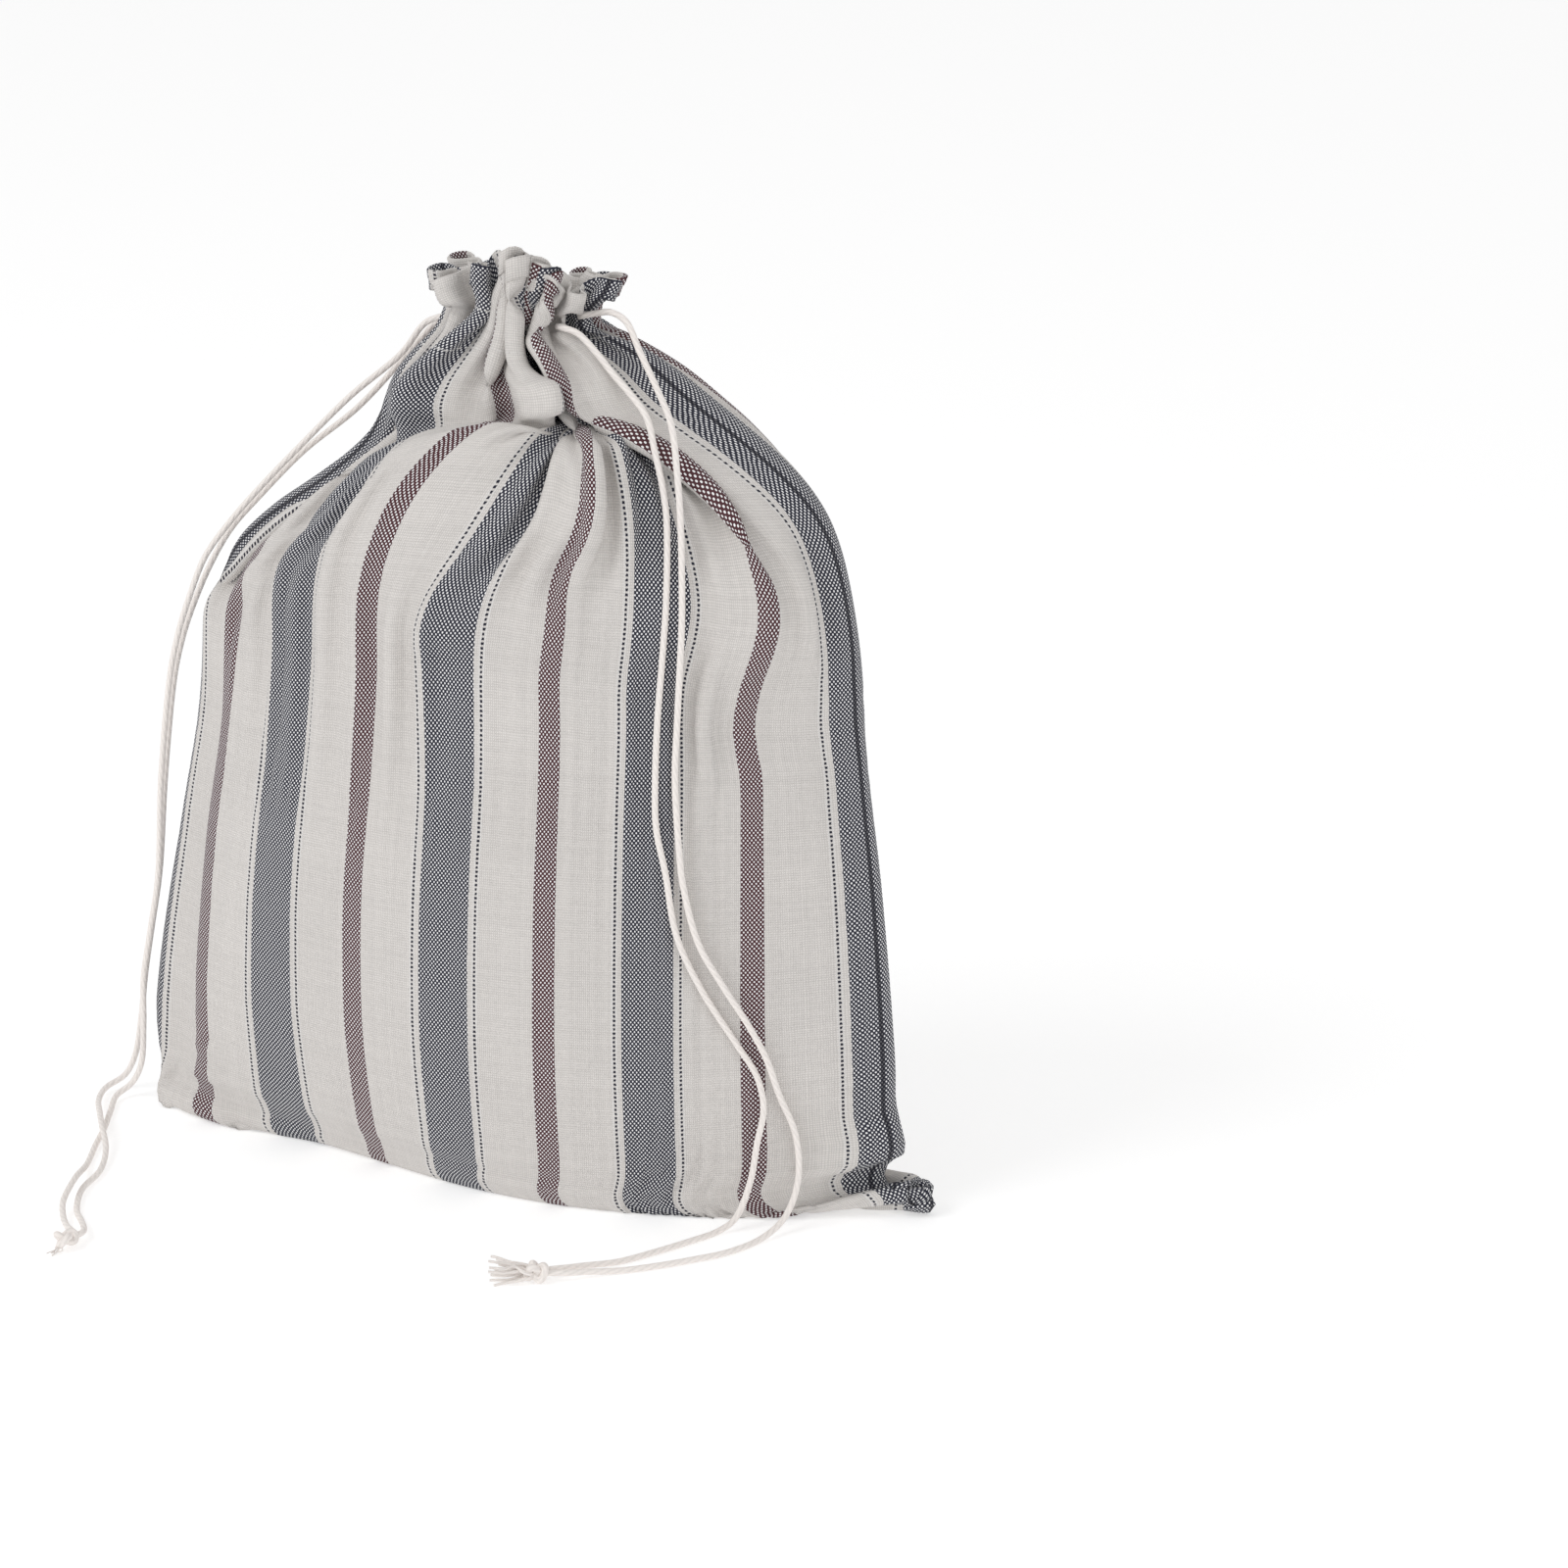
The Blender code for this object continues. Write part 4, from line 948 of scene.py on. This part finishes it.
class BREADBAG_OT_cords(bpy.types.Operator):
    """Lay the four strands of the drawstrings and tie each pair into its knot"""
    bl_idname = "breadbag.cords"
    bl_label = "Cords and knots"

    def execute(self, context):
        cotton = cotton_cord()
        knots = {knot.name: self.tie_knot(knot, cotton) for knot in KNOTS}
        for name, route in ROUTES.items():
            knot_place = next(knot.place for knot in KNOTS if knot.name[5:] in name)
            points = in_row_frame(smooth_route(route + [knot_place], CORD_STEP))
            strand = self.lay_strand(name.replace("cord", "strand"), points, cotton)
            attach(strand, "root")
            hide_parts(name)
        return {"FINISHED"}

    def lay_strand(self, name, points, material):
        mesh = bpy.data.meshes.new(name)
        bm = bmesh.new()
        uv_layer = bm.loops.layers.uv.new("cord")
        radii = np.full(len(points), CORD_DRAWN * CORD_DIAMETER / 2.0 * MM)
        add_tube(bm, uv_layer, points, radii, CORD_SIDES)
        bm.to_mesh(mesh)
        bm.free()
        mesh.materials.append(material)
        return add_object(name, mesh)

    def tie_knot(self, knot, material):
        """An overhand knot pulled tight, with the strands' frayed ends fanned out of it."""
        heading = math.radians(knot.heading)
        place = Matrix.Translation(in_row_frame(knot.place)) @ Matrix.Rotation(heading, 4, "Z")
        bm = bmesh.new()
        uv_layer = bm.loops.layers.uv.new("cord")
        turn = np.linspace(0.0, 2.0 * math.pi, 73)
        for lean, size in KNOT_LOOPS:
            loop = np.stack([1.25 * (np.sin(turn + lean) + 2.0 * np.sin(2.0 * (turn + lean))),
                             np.cos(turn + lean) - 2.0 * np.cos(2.0 * (turn + lean)),
                             -1.3 * knot.depth * np.sin(3.0 * (turn + lean))], -1) * size * knot.size * MM
            loop = [place @ Vector(point) for point in loop]
            radii = np.full(len(loop), CORD_DIAMETER / 2.0 * MM)
            add_tube(bm, uv_layer, np.array(loop), radii, KNOT_SIDES)
        chance = np.random.default_rng(7)
        low = 0.5 * knot.tail_width - knot.place[2]
        for i in range(knot.tails):
            share = i / (knot.tails - 1)
            fan = math.radians(knot.fan) * (share - 0.5) + chance.normal(0.0, 0.05)
            reach = knot.tail_length * (1.0 - 0.2 * chance.random())
            start = np.array([1.0, math.sin(fan) * 3.0, chance.uniform(-1.0, 1.0)])
            end = np.array([1.0 + reach * math.cos(fan), reach * math.sin(fan),
                            low + (knot.stand - low) * (0.5 + 0.5 * math.sin(2.4 * i))])
            f = np.linspace(0.0, 1.0, 13)[:, None]
            path = start * (1.0 - f) + end * f
            path[:, 2] = start[2] + (end[2] - start[2]) * np.sin(f[:, 0] * math.pi / 2.0)
            path[:, 1] += np.sin(f[:, 0] * math.pi * chance.uniform(1.5, 3.0)) * chance.normal(0.0, 1.1)
            path = np.array([place @ Vector(point * MM) for point in path])
            radii = 0.5 * knot.tail_width * np.linspace(1.0, 0.6, 13) * MM
            add_tube(bm, uv_layer, path, radii, TAIL_SIDES)
        mesh = bpy.data.meshes.new("tied_" + knot.name)
        bm.to_mesh(mesh)
        bm.free()
        mesh.materials.append(material)
        tied = add_object("tied_" + knot.name, mesh)
        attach(tied, "root")
        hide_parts(knot.name)
        return tied


class BREADBAG_OT_stage(bpy.types.Operator):
    """Add the floor, the soft light and the camera"""
    bl_idname = "breadbag.stage"
    bl_label = "Stage"

    def execute(self, context):
        stage = settings()[2]
        bpy.ops.object.select_all(action="DESELECT")
        bpy.ops.mesh.primitive_plane_add(size=FLOOR_SIZE, location=(0.0, 0.0, 0.0))
        floor = context.object
        floor.name = floor.data.name = "floor"
        material = bpy.data.materials.new("pale_floor")
        material.use_nodes = True
        shader = material.node_tree.nodes["Principled BSDF"]
        shader.inputs["Base Color"].default_value = stage.floor_colour
        shader.inputs["Roughness"].default_value = 0.9
        shader.inputs["Specular IOR Level"].default_value = 0.1
        shader.inputs["Emission Color"].default_value = (1.0, 1.0, 1.0, 1.0)
        shader.inputs["Emission Strength"].default_value = stage.floor_glow
        floor.data.materials.append(material)

        world = bpy.data.worlds.new("soft_sky")
        context.scene.world = world
        world.use_nodes = True
        background = world.node_tree.nodes["Background"]
        background.inputs["Color"].default_value = (1.0, 1.0, 1.0, 1.0)
        background.inputs["Strength"].default_value = stage.sky_strength

        for lamp in LAMPS:
            area = bpy.data.lights.new(lamp.name, "AREA")
            area.shape = "DISK"
            area.size = lamp.size
            area.energy = stage.key_power * lamp.power
            light = add_object(lamp.name, area)
            light.location = lamp.place
            from_target = Vector(lamp.place) - Vector((0.0, 0.0, AIM_HEIGHT))
            light.rotation_euler = from_target.to_track_quat("Z", "Y").to_euler()

        azimuth, elevation = math.radians(VIEW_AZIMUTH), math.radians(VIEW_ELEVATION)
        back = Vector((math.sin(azimuth) * math.cos(elevation), -math.cos(azimuth) * math.cos(elevation),
                       math.sin(elevation)))
        camera = bpy.data.cameras.new("camera")
        camera.sensor_width = 36.0
        camera.lens = 104.4
        camera.shift_x = 0.167
        camera.shift_y = -0.014
        camera.clip_end = 20.0
        view = add_object("camera", camera)
        view.location = Vector((CENTRE_SHIFT[0] * MM, 0.0, AIM_HEIGHT)) + back * VIEW_DISTANCE
        view.rotation_euler = back.to_track_quat("Z", "Y").to_euler()
        context.scene.camera = view
        context.scene.view_settings.view_transform = "Standard"
        return {"FINISHED"}


class BREADBAG_PT_panel(bpy.types.Panel):
    """Lists the bag's settings and the steps that build it"""
    bl_label = "Bread bag"
    bl_idname = "BREADBAG_PT_panel"
    bl_space_type = "VIEW_3D"
    bl_region_type = "UI"
    bl_category = "Bread bag"

    def draw(self, context):
        for group in settings():
            box = self.layout.box()
            for name in group.bl_rna.properties.keys():
                if name not in ("rna_type", "name"):
                    box.prop(group, name)
        for operator in OPERATORS:
            self.layout.operator(operator.bl_idname)


GROUPS = {"bread_bag_cloth": BreadBagCloth, "bread_bag_cords": BreadBagCords,
          "bread_bag_stage": BreadBagStage}
OPERATORS = (BREADBAG_OT_stage, BREADBAG_OT_cords, BREADBAG_OT_cloth)


def register():
    for name, group in GROUPS.items():
        bpy.utils.register_class(group)
        setattr(bpy.types.Scene, name, bpy.props.PointerProperty(type=group))
    for cls in OPERATORS + (BREADBAG_PT_panel,):
        bpy.utils.register_class(cls)


def unregister():
    for cls in (BREADBAG_PT_panel,) + OPERATORS[::-1]:
        bpy.utils.unregister_class(cls)
    for name, group in GROUPS.items():
        delattr(bpy.types.Scene, name)
        bpy.utils.unregister_class(group)


def main():
    register()
    bpy.ops.breadbag.stage()
    bpy.ops.breadbag.cords()
    bpy.ops.breadbag.cloth()


if __name__ == "__main__":
    main()
